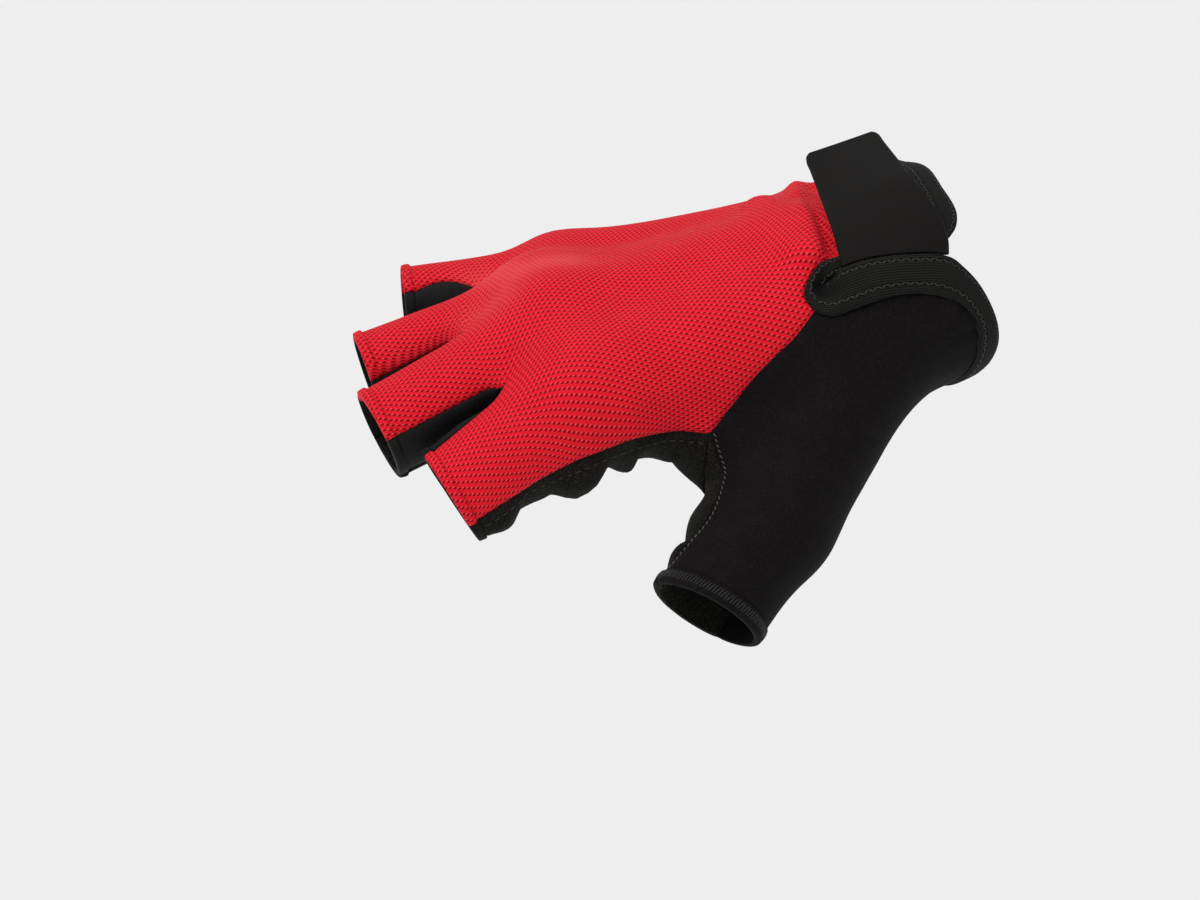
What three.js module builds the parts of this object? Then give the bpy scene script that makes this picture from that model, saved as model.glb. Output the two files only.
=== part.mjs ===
import * as THREE from 'three';

// Driving sizes in mm. The wrist opening's centre is the origin, the fingers
// point along -X, the thumb lies on the -Y side and the back of the hand is +Z.
const LENGTH = 131; // wrist opening to the middle finger's hem
const BREADTH = 84; // across the knuckles
const DEPTH = 50; // through the wrist
const MESH_WALL = 1.2; // knitted back
const STRETCH_WALL = 1.0; // thumb fabric and finger side walls
const SUEDE_WALL = 1.5; // palm
const TAPE_WALL = 1.1; // binding below the fabric's face
const TAPE_RISE = 0.9; // binding above the fabric's face
const STRAP_WALL = 2.0;
const STRAP_LIFT = 1.35; // strap's underside above the fabric's face
const PATCH_WALL = 0.7;
const SEAM_GAP = 0.3; // between pieces that are sewn edge to edge
const FINGER_HEM = 1.8;
const THUMB_HEM = 3.0;
const HEM_SWELL = 0.45;
const FOLD_HEIGHT = 1.0; // scales every ridge and dent of the cloth
const SLOT = 1.3; // between neighbouring finger stalls
const WEB_SINK = 4; // how far the web lies back of its two tips
const SLOT_BLEND = 1.2; // rounding of the stalls' cut-back sides
const TIP_WALL = 0.85; // share of its wall that a sheet keeps at a slot's tip

const vec = (x, y, z) => new THREE.Vector3(x, y, z);
const place = (x, y, z) => vec(x * LENGTH, y * BREADTH, z * DEPTH);
const mix = THREE.MathUtils.lerp;
const clamp = THREE.MathUtils.clamp;

// Joints of the filled glove: x, y, z as shares of the length, breadth and
// depth, and the radius of the filled glove there as a share of the breadth.
const jointRows = [
  ['wristThumbSide', 0.122, -0.108, 0.086, 0.245],
  ['wristLittleSide', 0.114, 0.129, -0.029, 0.248],
  ['indexRoot', -0.05, -0.123, 0.065, 0.238],
  ['middleRoot', -0.053, -0.05, 0.045, 0.238],
  ['ringRoot', -0.057, -0.011, -0.035, 0.228],
  ['littleRoot', -0.029, 0.152, -0.115, 0.236],
  ['indexKnuckle', -0.662, -0.168, -0.116, 0.163],
  ['middleKnuckle', -0.66, 0.079, -0.084, 0.152],
  ['ringKnuckle', -0.642, 0.262, -0.144, 0.133],
  ['littleKnuckle', -0.553, 0.463, -0.278, 0.131],
  ['indexHem', -0.916, -0.193, -0.428, 0.131],
  ['middleHem', -0.997, 0.062, -0.344, 0.124],
  ['ringHem', -0.96, 0.313, -0.324, 0.12],
  ['littleHem', -0.831, 0.579, -0.304, 0.113],
  ['thumbRoot', -0.157, -0.19, -0.032, 0.196],
  ['thumbKnuckle', -0.428, -0.489, -0.578, 0.156],
  ['thumbHem', -0.582, -0.639, -0.794, 0.152],
  ['thenar', -0.21, -0.123, -0.292, 0.173],
  ['web', -0.482, -0.267, -0.342, 0.126],
  ['heel', -0.19, 0.148, -0.097, 0.146],
];
const joints = {};
for (const [name, x, y, z, radius] of jointRows) {
  joints[name] = { at: place(x, y, z), radius: radius * BREADTH };
}

// Bones of the palm join with the wider blend, fingers and thumb with the narrower.
const palmBones = [
  ['wristThumbSide', 'indexRoot'],
  ['wristLittleSide', 'littleRoot'],
  ['indexRoot', 'indexKnuckle'],
  ['middleRoot', 'middleKnuckle'],
  ['ringRoot', 'ringKnuckle'],
  ['littleRoot', 'littleKnuckle'],
  ['indexKnuckle', 'middleKnuckle'],
  ['middleKnuckle', 'ringKnuckle'],
  ['ringKnuckle', 'littleKnuckle'],
  ['thumbRoot', 'indexRoot'],
  ['thenar', 'web'],
  ['thenar', 'thumbKnuckle'],
  ['heel', 'littleKnuckle'],
  ['heel', 'thenar'],
];
const fingerBones = [
  ['indexKnuckle', 'indexHem'],
  ['middleKnuckle', 'middleHem'],
  ['ringKnuckle', 'ringHem'],
  ['littleKnuckle', 'littleHem'],
];
const thumbBones = [
  ['thumbRoot', 'thumbKnuckle'],
  ['thumbKnuckle', 'thumbHem'],
];
const PALM_BLEND = 0.036 * BREADTH;
const FINGER_BLEND = 0.026 * BREADTH;
const THUMB_BLEND = 0.018 * BREADTH;
const REACH = 0.15 * LENGTH; // how far a finger's form runs on past its hem

// Ridges (+) and dents (-) of the cloth, each along a short line: both ends as
// shares of length, breadth and depth, the half-width in mm and the height in mm.
const foldRows = [
  ['dentByStrap', -0.2, 0.14, 0.33, -0.235, -0.16, 0.4, 3.2, -1.3],
  ['ridgeByStrap', -0.25, 0.24, 0.22, -0.285, -0.14, 0.37, 4.2, 3.0],
  ['indexSidePleat', -0.865, -0.3, -0.5, -0.83, -0.26, -0.62, 3.4, 1.7],
  ['middlePleat', -0.745, -0.32, -0.36, -0.72, -0.28, -0.5, 3.6, 1.7],
  ['webPleat', -0.655, -0.34, -0.27, -0.64, -0.3, -0.42, 3.4, 1.1],
];
const folds = foldRows.map(([, ax, ay, az, bx, by, bz, width, height]) => ({
  from: place(ax, ay, az),
  run: place(bx, by, bz).sub(place(ax, ay, az)),
  width,
  height: height * FOLD_HEIGHT,
}));

function bone([a, b], reach) {
  const from = joints[a].at;
  const run = joints[b].at.clone().sub(from);
  return {
    from,
    run,
    square: run.lengthSq(),
    limit: 1 + reach / run.length(),
    near: joints[a].radius,
    far: joints[b].radius,
  };
}
const palm = palmBones.map((pair) => bone(pair, 0));
const fingers = fingerBones.map((pair) => bone(pair, REACH));
const thumb = [bone(thumbBones[0], 0), bone(thumbBones[1], REACH)];

// Distance from a point to the skin of one tapered bone.
function toBone(p, b) {
  const x = p.x - b.from.x;
  const y = p.y - b.from.y;
  const z = p.z - b.from.z;
  const share = clamp((x * b.run.x + y * b.run.y + z * b.run.z) / b.square, 0, b.limit);
  const gap = Math.hypot(x - share * b.run.x, y - share * b.run.y, z - share * b.run.z);
  return gap - mix(b.near, b.far, Math.min(share, 1));
}

// Smooth union of several distances.
function blend(distances, softness) {
  const least = Math.min(...distances);
  let sum = 0;
  for (const d of distances) {
    sum += Math.exp((least - d) / softness);
  }
  return least - softness * Math.log(sum);
}

const handAt = (p) => [
  blend(palm.map((b) => toBone(p, b)), PALM_BLEND),
  blend(thumb.map((b) => toBone(p, b)), THUMB_BLEND),
];

function clothHeight(p) {
  let height = 0;
  for (const fold of folds) {
    const q = p.clone().sub(fold.from);
    const share = clamp(q.dot(fold.run) / fold.run.lengthSq(), 0, 1);
    const off = q.addScaledVector(fold.run, -share).length() / fold.width;
    height += fold.height * Math.exp(-off * off);
  }
  return height;
}

// The filled glove: negative inside, zero on the fabric's outer face.
const smoothForm = (p) => blend([...handAt(p), ...fingers.map((b) => toBone(p, b))], FINGER_BLEND);
const form = (p) => smoothForm(p) - clothHeight(p);

// One finger's stall with the hand: it is cut back from its neighbours so that
// the slots between the fingers stay open.
function stallForm(k) {
  const neighbours = [fingers[k - 1], fingers[k + 1]].filter(Boolean);
  return (p) => {
    const own = toBone(p, fingers[k]);
    const limits = neighbours.map((b) => (own - toBone(p, b) + SLOT) / 2);
    const trimmed = -blend([own, ...limits].map((d) => -d), SLOT_BLEND);
    return blend([...handAt(p), trimmed], FINGER_BLEND) - clothHeight(p);
  };
}
const stallForms = fingers.map((unused, k) => stallForm(k));

function slope(p, skin) {
  const h = 0.2;
  const x = skin(vec(p.x + h, p.y, p.z)) - skin(vec(p.x - h, p.y, p.z));
  const y = skin(vec(p.x, p.y + h, p.z)) - skin(vec(p.x, p.y - h, p.z));
  const z = skin(vec(p.x, p.y, p.z + h)) - skin(vec(p.x, p.y, p.z - h));
  return vec(x, y, z).divideScalar(2 * h);
}
const normalAt = (p) => slope(p, p.skin ?? form).normalize();

// Nearest point of a skin, by stepping down its slope. The point keeps its skin.
function onForm(p, skin = form) {
  const q = p.clone();
  for (let step = 0; step < 7; step++) {
    const g = slope(q, skin);
    q.addScaledVector(g, -skin(q) / Math.max(g.lengthSq(), 0.3));
  }
  q.skin = skin;
  return q;
}
const onFormAt = (x, y, z) => onForm(place(x, y, z));

// A smooth line through landmarks, read at landmark number t.
function line(points, closed) {
  const curve = new THREE.CatmullRomCurve3(points, closed, 'centripetal');
  const spans = closed ? points.length : points.length - 1;
  return (t) => {
    const share = closed ? (((t / spans) % 1) + 1) % 1 : clamp(t / spans, 0, 1);
    return onForm(curve.getPoint(share));
  };
}
const sample = (count, at) => Array.from({ length: count + 1 }, (unused, i) => at(i / count));

// The binding runs round the wrist opening and along both legs of the slit.
// Each row: its fabric edge and then its free edge, as shares.
const bindingRows = [
  ['slitEnd', -0.31, -0.262, 0.28, -0.269, -0.2495, 0.337],
  ['slitEndLow', -0.301, -0.298, 0.236, -0.266, -0.252, 0.335],
  ['lowerLegStart', -0.279, -0.319, 0.217, -0.256, -0.254, 0.336],
  ['lowerLeg1', -0.241, -0.33, 0.235, -0.233, -0.254, 0.346],
  ['lowerLeg2', -0.19, -0.339, 0.268, -0.187, -0.266, 0.372],
  ['lowerLeg3', -0.14, -0.352, 0.276, -0.129, -0.293, 0.392],
  ['thumbCorner', -0.094, -0.372, 0.254, -0.062, -0.328, 0.382],
  ['thumbSide1', -0.06, -0.388, 0.21, -0.031, -0.359, 0.312],
  ['thumbSide2', -0.033, -0.399, 0.11, 0.004, -0.39, 0.13],
  ['thumbSide3', -0.025, -0.392, -0.04, 0.019, -0.382, -0.03],
  ['thumbSide4', -0.026, -0.36, -0.18, 0.018, -0.35, -0.17],
  ['palmThumbSide', -0.036, -0.286, -0.35, 0.008, -0.286, -0.35],
  ['palm1', -0.042, -0.167, -0.44, 0.002, -0.167, -0.44],
  ['palm2', -0.046, -0.048, -0.47, 0, -0.048, -0.46],
  ['palm3', -0.046, 0.071, -0.476, 0, 0.071, -0.47],
  ['palm4', -0.046, 0.19, -0.45, 0, 0.19, -0.44],
  ['palmLittleSide', -0.046, 0.298, -0.34, 0, 0.298, -0.34],
  ['littleSide1', -0.046, 0.369, -0.16, 0, 0.369, -0.16],
  ['littleSide2', -0.046, 0.381, 0.02, 0, 0.381, 0.02],
  ['littleSide3', -0.046, 0.345, 0.2, 0, 0.345, 0.2],
  ['back1', -0.048, 0.255, 0.36, 0, 0.255, 0.37],
  ['back2', -0.05, 0.14, 0.46, 0, 0.14, 0.47],
  ['back3', -0.055, 0.01, 0.51, -0.008, 0, 0.52],
  ['back4', -0.065, -0.118, 0.52, -0.021, -0.131, 0.541],
  ['backCorner', -0.075, -0.205, 0.48, -0.024, -0.234, 0.497],
  ['upperLegStart', -0.095, -0.24, 0.45, -0.047, -0.28, 0.456],
  ['upperLeg1', -0.136, -0.236, 0.43, -0.12, -0.286, 0.398],
  ['upperLeg2', -0.185, -0.218, 0.41, -0.186, -0.259, 0.378],
  ['upperLeg3', -0.234, -0.206, 0.385, -0.233, -0.247, 0.352],
  ['upperLeg4', -0.265, -0.204, 0.364, -0.256, -0.247, 0.344],
  ['slitEndHigh', -0.291, -0.226, 0.328, -0.266, -0.247, 0.34],
];
const clothEdge = line(bindingRows.map(([, x, y, z]) => place(x, y, z)), true);
const freeEdge = line(bindingRows.map(([, , , , x, y, z]) => place(x, y, z)), true);
const row = (name) => bindingRows.findIndex(([key]) => key === name);
const LOOP = bindingRows.length;
const SIDE_SEAM = row('littleSide1'); // where the back meets the palm at the wrist

// Rows of the panels: along the binding, along the diagonal seam, along the
// hand's thumb-side edge up to the finger strips, and along each strip.
const UPPER_LEG_ROWS = 12;
const LOWER_LEG_ROWS = 5;
const WEB_ROWS = 7;
const DIAGONAL_ROWS = 5;
const SIDE_ROWS = 4;
const BODY_ROWS = UPPER_LEG_ROWS + DIAGONAL_ROWS + SIDE_ROWS;
const THENAR_ROWS = LOWER_LEG_ROWS + DIAGONAL_ROWS;
const STRIP_COLUMNS = 6;
const THUMB_COLUMNS = 10;
const FOURCHETTE_COLUMNS = 4;
const LENGTHWISE_STRIP_ROWS = 4;

// A hem: rows as shares of the hem's width, and how far each swells.
const hemRows = [
  [1.35, 0],
  [0.95, 1],
  [0.35, 1],
  [0, 0.2],
];
const STRIP_ROWS = LENGTHWISE_STRIP_ROWS - 1 + hemRows.length;

// Four finger lines from wrist to hem; seam angles in degrees from the back of
// the finger, positive toward the little finger.
const digitRows = [
  ['index', 'indexRoot', 'indexKnuckle', 'indexHem', -91, 28, 116],
  ['middle', 'middleRoot', 'middleKnuckle', 'middleHem', -61, 50, 130],
  ['ring', 'ringRoot', 'ringKnuckle', 'ringHem', -60, 50, 130],
  ['little', 'littleRoot', 'littleKnuckle', 'littleHem', -34, 98, 98],
];
const palmFrom = [-91, -130, -142, -112]; // palm-side seams toward the thumb
const bodyAxis = vec(-1, 0, 0);
const thumbAxis = joints.thumbHem.at.clone().sub(joints.thumbRoot.at).normalize();

// Straight runs through three joints, read by x, with a direction that turns
// from the hand's to the digit's.
function spine(names, axisEnd, turnFrom, turnTo) {
  const [a, b, c] = names.map((name) => joints[name].at);
  return (x) => {
    const first = x > b.x;
    const from = first ? a : b;
    const to = first ? b : c;
    const share = (x - from.x) / (to.x - from.x);
    const turn = THREE.MathUtils.smoothstep(-x, -mix(a.x, b.x, turnFrom), -mix(b.x, c.x, turnTo));
    return {
      base: from.clone().lerp(to, share),
      axis: bodyAxis.clone().lerp(axisEnd, turn).normalize(),
    };
  };
}

const digits = digitRows.map(([name, root, knuckle, hem, thumbSide, littleSide, palmSide], k) => {
  const skin = stallForms[k];
  const axis = joints[hem].at.clone().sub(joints[knuckle].at).normalize();
  const up = vec(0, 0, 1).addScaledVector(axis, -axis.z).normalize();
  const across = vec(0, 1, 0).addScaledVector(axis, -axis.y);
  across.addScaledVector(up, -across.dot(up)).normalize();
  const end = joints[hem].at;
  const radius = joints[hem].radius;
  return {
    name,
    skin,
    axis,
    up,
    across,
    end,
    thumbSide,
    littleSide,
    palmSide,
    along: spine([root, knuckle, hem], axis, 0.85, 0.35),
    // Point of the digit at an angle and a distance back from its hem.
    at(degrees, back) {
      const a = THREE.MathUtils.degToRad(degrees);
      const p = end.clone().addScaledVector(axis, -back);
      p.addScaledVector(up, radius * Math.cos(a)).addScaledVector(across, radius * Math.sin(a));
      return onForm(p, skin);
    },
    angleOf(p) {
      const q = p.clone().sub(end);
      return THREE.MathUtils.radToDeg(Math.atan2(q.dot(across), q.dot(up)));
    },
    backOf: (p) => end.clone().sub(p).dot(axis),
  };
});

// Points of one finger seam from its web end to the hem.
function stripSeam(digit, start, degrees) {
  const startAngle = digit.angleOf(start);
  let first = startAngle;
  if (Math.abs(first + 360 - degrees) < Math.abs(first - degrees)) {
    first += 360;
  }
  const depth = digit.backOf(start);
  const hemStart = hemRows[0][0] * FINGER_HEM;
  const points = [start];
  for (let i = 1; i < LENGTHWISE_STRIP_ROWS; i++) {
    const share = i / LENGTHWISE_STRIP_ROWS;
    points.push(digit.at(mix(first, degrees, share), mix(depth, hemStart, share)));
  }
  for (const [width] of hemRows) {
    points.push(digit.at(degrees, width * FINGER_HEM));
  }
  return points;
}

// Interior of one row: from one seam to the other, turning about the axis.
function sweep({ base, axis }, from, to, columns, skin = form) {
  const f = from.clone().sub(base);
  const t = to.clone().sub(base);
  const fAlong = f.dot(axis);
  const tAlong = t.dot(axis);
  f.addScaledVector(axis, -fAlong);
  t.addScaledVector(axis, -tAlong);
  let turn = Math.atan2(axis.dot(vec(0, 0, 0).crossVectors(f, t)), f.dot(t));
  if (turn < 0) {
    turn += 2 * Math.PI;
  }
  const points = [from];
  for (let j = 1; j < columns; j++) {
    const share = j / columns;
    const p = f.clone().applyAxisAngle(axis, turn * share);
    p.setLength(mix(f.length(), t.length(), share));
    p.addScaledVector(axis, mix(fAlong, tAlong, share)).add(base);
    points.push(onForm(p, skin));
  }
  points.push(to);
  return points;
}

// Tips of the slots between the fingers, on the back and on the palm.
const backTips = [
  onFormAt(-0.804, -0.082, -0.034),
  onFormAt(-0.82, 0.168, -0.012),
  onFormAt(-0.731, 0.457, -0.12),
];
const palmTips = [
  onFormAt(-0.78, -0.055, -0.46),
  onFormAt(-0.79, 0.2, -0.44),
  onFormAt(-0.68, 0.44, -0.46),
];
const slotTips = new Set([...backTips, ...palmTips]);

// Seams along the hand.
const corner = onFormAt(-0.508, -0.367, -0.2); // where mesh, stretch and suede meet
const sideSeam = line([
  corner,
  onFormAt(-0.58, -0.357, -0.172),
  onFormAt(-0.652, -0.36, -0.145),
  onFormAt(-0.725, -0.348, -0.205),
  digits[0].at(-89, 0.125 * LENGTH),
], false);
const diagonalSeam = line([
  clothEdge(row('slitEndLow')),
  onFormAt(-0.344, -0.321, 0.146),
  onFormAt(-0.381, -0.332, 0.086),
  onFormAt(-0.419, -0.344, 0.014),
  onFormAt(-0.456, -0.352, -0.08),
  corner,
], false);
const crotchSeam = line([
  corner,
  onFormAt(-0.502, -0.4, -0.3),
  onFormAt(-0.503, -0.44, -0.33),
  onFormAt(-0.528, -0.497, -0.386),
  onFormAt(-0.559, -0.519, -0.464),
  onFormAt(-0.596, -0.54, -0.538),
], false);
const webSeam = line([
  corner,
  onFormAt(-0.51, -0.36, -0.33),
  onFormAt(-0.49, -0.335, -0.46),
  onFormAt(-0.44, -0.325, -0.58),
  onFormAt(-0.385, -0.345, -0.66),
  onFormAt(-0.335, -0.375, -0.7),
], false);
const thenarSeam = line([
  clothEdge(row('palmThumbSide')),
  onFormAt(-0.11, -0.265, -0.42),
  onFormAt(-0.19, -0.29, -0.53),
  onFormAt(-0.265, -0.33, -0.62),
  webSeam(5),
], false);

// Thumb seams from the web row to the hem. The thumb's hem leans: it stands
// further out on the inner side.
const thumbOut = vec(0, -1, 0).addScaledVector(thumbAxis, thumbAxis.y).normalize();
const thumbUp = vec(0, 0, 0).crossVectors(thumbAxis, thumbOut);
const THUMB_LEAN = 0.17;
function thumbAt(degrees, back) {
  const a = THREE.MathUtils.degToRad(degrees);
  const r = joints.thumbHem.radius;
  const p = joints.thumbHem.at.clone();
  p.addScaledVector(thumbOut, r * Math.cos(a)).addScaledVector(thumbUp, r * Math.sin(a));
  p.addScaledVector(thumbAxis, -back - THUMB_LEAN * r * Math.cos(a));
  return onForm(p);
}
const THUMB_TOP = 122;
const THUMB_UNDER = -112;
const THUMB_STRIP_ROWS = 5;
function thumbSeam(seam, end, degrees) {
  const hemStart = hemRows[0][0] * THUMB_HEM;
  const tail = thumbAt(degrees, hemStart);
  const points = [];
  for (let i = 0; i < THUMB_STRIP_ROWS; i++) {
    points.push(onForm(seam((i / THUMB_STRIP_ROWS) * end).lerp(tail, (i / THUMB_STRIP_ROWS) ** 3)));
  }
  for (const [width] of hemRows) {
    points.push(thumbAt(degrees, width * THUMB_HEM));
  }
  return points;
}
const thumbTop = thumbSeam(crotchSeam, 5, THUMB_TOP);
const underLine = line([webSeam(5), thumbAt(THUMB_UNDER, 0.09 * LENGTH), thumbAt(THUMB_UNDER, 0)], false);
const thumbUnder = thumbSeam((t) => underLine(t * 0.4), 4, THUMB_UNDER);
const thumbLine = spine(['thumbRoot', 'thumbKnuckle', 'thumbHem'], thumbAxis, 0, 0);

// A sewn sheet: points on the fabric's face and four-sided cells, given its
// wall below the face. Edges draw back by half the seam gap.
function sheet(points, cells, wall, rise, sink) {
  const area = vec(0, 0, 0);
  for (const [a, b, c] of cells) {
    const u = points[b].clone().sub(points[a]);
    const w = points[c].clone().sub(points[a]);
    area.x += Math.sign(u.cross(w).dot(normalAt(points[b])));
  }
  const loops = area.x > 0 ? cells : cells.map((cell) => [...cell].reverse());
  const sides = new Map();
  for (const cell of loops) {
    cell.forEach((a, i) => sides.set(`${a},${cell[(i + 1) % 4]}`, [a, cell[(i + 1) % 4]]));
  }
  const rim = [...sides.values()].filter(([a, b]) => !sides.has(`${b},${a}`));
  const faceNormals = points.map(normalAt);
  const drawn = points.map(() => []);
  for (const [a, b] of rim) {
    const edge = points[b].clone().sub(points[a]);
    for (const i of [a, b]) {
      drawn[i].push(vec(0, 0, 0).crossVectors(faceNormals[i], edge).normalize());
    }
  }
  const faces = points.map((p, i) => {
    if (drawn[i].length < 2) {
      return p.clone();
    }
    const inward = drawn[i][0].clone().add(drawn[i][1]);
    const spread = Math.max(inward.lengthSq() / 4, 0.35);
    return onForm(p.clone().addScaledVector(inward, (0.25 * SEAM_GAP) / spread), p.skin);
  });
  const outer = faces.map((p, i) => p.clone().addScaledVector(faceNormals[i], rise(i)));
  const inner = faces.map((p, i) => {
    const share = slotTips.has(points[i]) ? TIP_WALL : 1;
    return p.clone().addScaledVector(faceNormals[i], -share * (wall + sink(i)));
  });
  const triangles = [];
  const count = points.length;
  for (const [a, b, c, d] of loops) {
    triangles.push(a, b, c, a, c, d);
    triangles.push(a + count, c + count, b + count, a + count, d + count, c + count);
  }
  for (const [a, b] of rim) {
    triangles.push(b, a, a + count, b, a + count, b + count);
  }
  return solid([...outer, ...inner], triangles);
}

function solid(points, triangles) {
  const geometry = new THREE.BufferGeometry();
  geometry.setAttribute('position', new THREE.Float32BufferAttribute(points.flatMap((p) => p.toArray()), 3));
  geometry.setIndex(triangles);
  geometry.computeVertexNormals();
  return geometry;
}

// Four strips of rows joined side by side up to the slots between the fingers.
// Each group is rows of points; neighbours share a line up to their slot's tip.
function joinStrips(groups) {
  const points = [];
  const numbers = [];
  for (const [g, rows] of groups.entries()) {
    numbers.push(rows.map((line_, i) => line_.map((p, j) => {
      if (g > 0 && j === 0 && i <= BODY_ROWS) {
        return numbers[g - 1][i][STRIP_COLUMNS];
      }
      points.push(p);
      return points.length - 1;
    })));
  }
  const cells = [];
  for (const grid of numbers) {
    cells.push(...gridCells(grid));
  }
  const hem = new Map();
  for (const grid of numbers) {
    grid.forEach((line_, i) => line_.forEach((n) => hem.set(n, hemSwell(i - (grid.length - hemRows.length)))));
  }
  return { points, cells, swell: (i) => hem.get(i) };
}

function gridCells(grid) {
  const cells = [];
  for (let i = 0; i + 1 < grid.length; i++) {
    for (let j = 0; j + 1 < grid[i].length; j++) {
      cells.push([grid[i][j], grid[i + 1][j], grid[i + 1][j + 1], grid[i][j + 1]]);
    }
  }
  return cells;
}
const hemSwell = (i) => (i < 0 ? 0 : hemRows[i][1] * HEM_SWELL);

// The lines between fingers run from the binding to the slots' tips.
function valley(start, tip) {
  return sample(BODY_ROWS, (share) => {
    if (share === 0) {
      return start;
    }
    return share === 1 ? tip : onForm(start.clone().lerp(tip, share));
  });
}

// Back: one line per seam, the outer ones along slit, diagonal and both sides.
const backStart = (share) => clothEdge(mix(row('backCorner'), SIDE_SEAM, share));
const slitSide = sample(UPPER_LEG_ROWS, (s) => clothEdge(mix(row('backCorner'), LOOP + 1, s)));
const diagonal = sample(DIAGONAL_ROWS, (s) => diagonalSeam(5 * s));
const handSide = sample(SIDE_ROWS, (s) => sideSeam(4 * s));
const backEdge = [...slitSide.slice(0, -1), ...diagonal.slice(0, -1), ...handSide];
const littleSeam = sample(BODY_ROWS, (share) => {
  if (share === 0) {
    return clothEdge(SIDE_SEAM);
  }
  const x = mix(-0.046, -0.725, share) * LENGTH;
  const { base } = digits[3].along(x);
  const a = THREE.MathUtils.degToRad(digits[3].littleSide);
  const out = mix(0.2, 0.12, share) * BREADTH;
  return onForm(base.add(vec(0, out * Math.sin(a), out * Math.cos(a))));
});
const backValleys = [
  backEdge,
  ...backTips.map((tip, i) => valley(backStart((i + 1) / 4), tip)),
  littleSeam,
];

const palmStart = (share) => clothEdge(mix(row('palmThumbSide'), SIDE_SEAM, share));
const thenar = sample(THENAR_ROWS, (s) => thenarSeam(4 * s));
const web = sample(WEB_ROWS, (s) => webSeam(5 * (1 - s)));
const palmEdge = [...thenar.slice(0, -1), ...web.slice(0, -1), ...handSide];
const palmValleys = [
  palmEdge,
  ...palmTips.map((tip, i) => valley(palmStart((i + 1) / 4), tip)),
  littleSeam,
];

// Rows of one finger group on the back (side 1) or on the palm (side -1).
function group(valleys, g, startAt, side, fromDegrees, toDegrees) {
  const digit = digits[g];
  const left = [...valleys[g], ...stripSeam(digit, valleys[g][BODY_ROWS], fromDegrees).slice(1)];
  const right = [...valleys[g + 1], ...stripSeam(digit, valleys[g + 1][BODY_ROWS], toDegrees).slice(1)];
  return left.map((a, i) => {
    if (i === 0) {
      return sample(STRIP_COLUMNS, (share) => startAt((g + share) / 4));
    }
    const b = right[i];
    const frame = digit.along((a.x + b.x) / 2);
    const skin = i > BODY_ROWS ? digit.skin : form;
    if (side > 0) {
      return sweep(frame, a, b, STRIP_COLUMNS, skin);
    }
    return sweep(frame, b, a, STRIP_COLUMNS, skin).reverse();
  });
}

const backGroups = digits.map((digit, g) => (
  group(backValleys, g, backStart, 1, digit.thumbSide, digit.littleSide)
));
const palmGroups = digits.map((digit, g) => (
  group(palmValleys, g, palmStart, -1, palmFrom[g], digit.palmSide)
));

// Side wall between two fingers: from one hem round the web to the other hem.
function fourchette(g) {
  const near = digits[g];
  const next = digits[g + 1];
  const nearBack = stripSeam(near, backTips[g], near.littleSide);
  const nearPalm = stripSeam(near, palmTips[g], near.palmSide);
  const nextBack = stripSeam(next, backTips[g], next.thumbSide);
  const nextPalm = stripSeam(next, palmTips[g], palmFrom[g + 1]);
  const nearRows = nearBack.map((a, i) => {
    const frame = near.along((a.x + nearPalm[i].x) / 2);
    return sweep(frame, a, nearPalm[i], FOURCHETTE_COLUMNS, near.skin);
  });
  const nextRows = nextBack.map((a, i) => {
    const frame = next.along((a.x + nextPalm[i].x) / 2);
    return sweep(frame, nextPalm[i], a, FOURCHETTE_COLUMNS, next.skin).reverse();
  });
  const between = (p) => Math.min(near.skin(p), next.skin(p));
  const middle = sample(FOURCHETTE_COLUMNS, (s) => {
    if (s === 0 || s === 1) {
      return s === 0 ? backTips[g] : palmTips[g];
    }
    const p = backTips[g].clone().lerp(palmTips[g], s);
    p.x += 4 * WEB_SINK * s * (1 - s);
    return onForm(p, between);
  });
  const rows = [...nearRows.slice(1).reverse(), middle, ...nextRows.slice(1)];
  const columns = FOURCHETTE_COLUMNS + 1;
  const grid = rows.map((line_, i) => line_.map((unused, j) => i * columns + j));
  const swell = (n) => {
    const fromEnd = Math.min(Math.floor(n / columns), rows.length - 1 - Math.floor(n / columns));
    return hemSwell(hemRows.length - 1 - fromEnd);
  };
  return sheet(rows.flat(), gridCells(grid), STRETCH_WALL, swell, swell);
}

// Thumb: the stretch panel turns from the seam below, round the outside, up to
// the diagonal seam and the crotch; the suede closes the inner side.
function thumbPanel() {
  const cuff = sample(THUMB_COLUMNS, (s) => clothEdge(mix(row('palmThumbSide'), row('thumbCorner'), s)));
  const top = [
    ...sample(LOWER_LEG_ROWS, (s) => clothEdge(mix(row('thumbCorner'), 1, s))).slice(0, -1),
    ...diagonal.slice(0, -1),
    ...thumbTop,
  ];
  const under = [...thenar.slice(0, -1), ...thumbUnder];
  const rows = top.map((b, i) => {
    if (i === 0) {
      return cuff;
    }
    return sweep(thumbLine((under[i].x + b.x) / 2), under[i], b, THUMB_COLUMNS);
  });
  return stripSheet(rows, STRETCH_WALL);
}

function thumbInner() {
  const rows = thumbTop.map((a, i) => {
    if (i === 0) {
      return [...web].reverse();
    }
    return sweep(thumbLine((a.x + thumbUnder[i].x) / 2), a, thumbUnder[i], WEB_ROWS);
  });
  return stripSheet(rows, SUEDE_WALL);
}

function stripSheet(rows, wall) {
  const columns = rows[0].length;
  const grid = rows.map((line_, i) => line_.map((unused, j) => i * columns + j));
  const swell = (n) => hemSwell(Math.floor(n / columns) - (rows.length - hemRows.length));
  return sheet(rows.flat(), gridCells(grid), wall, swell, swell);
}

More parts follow.
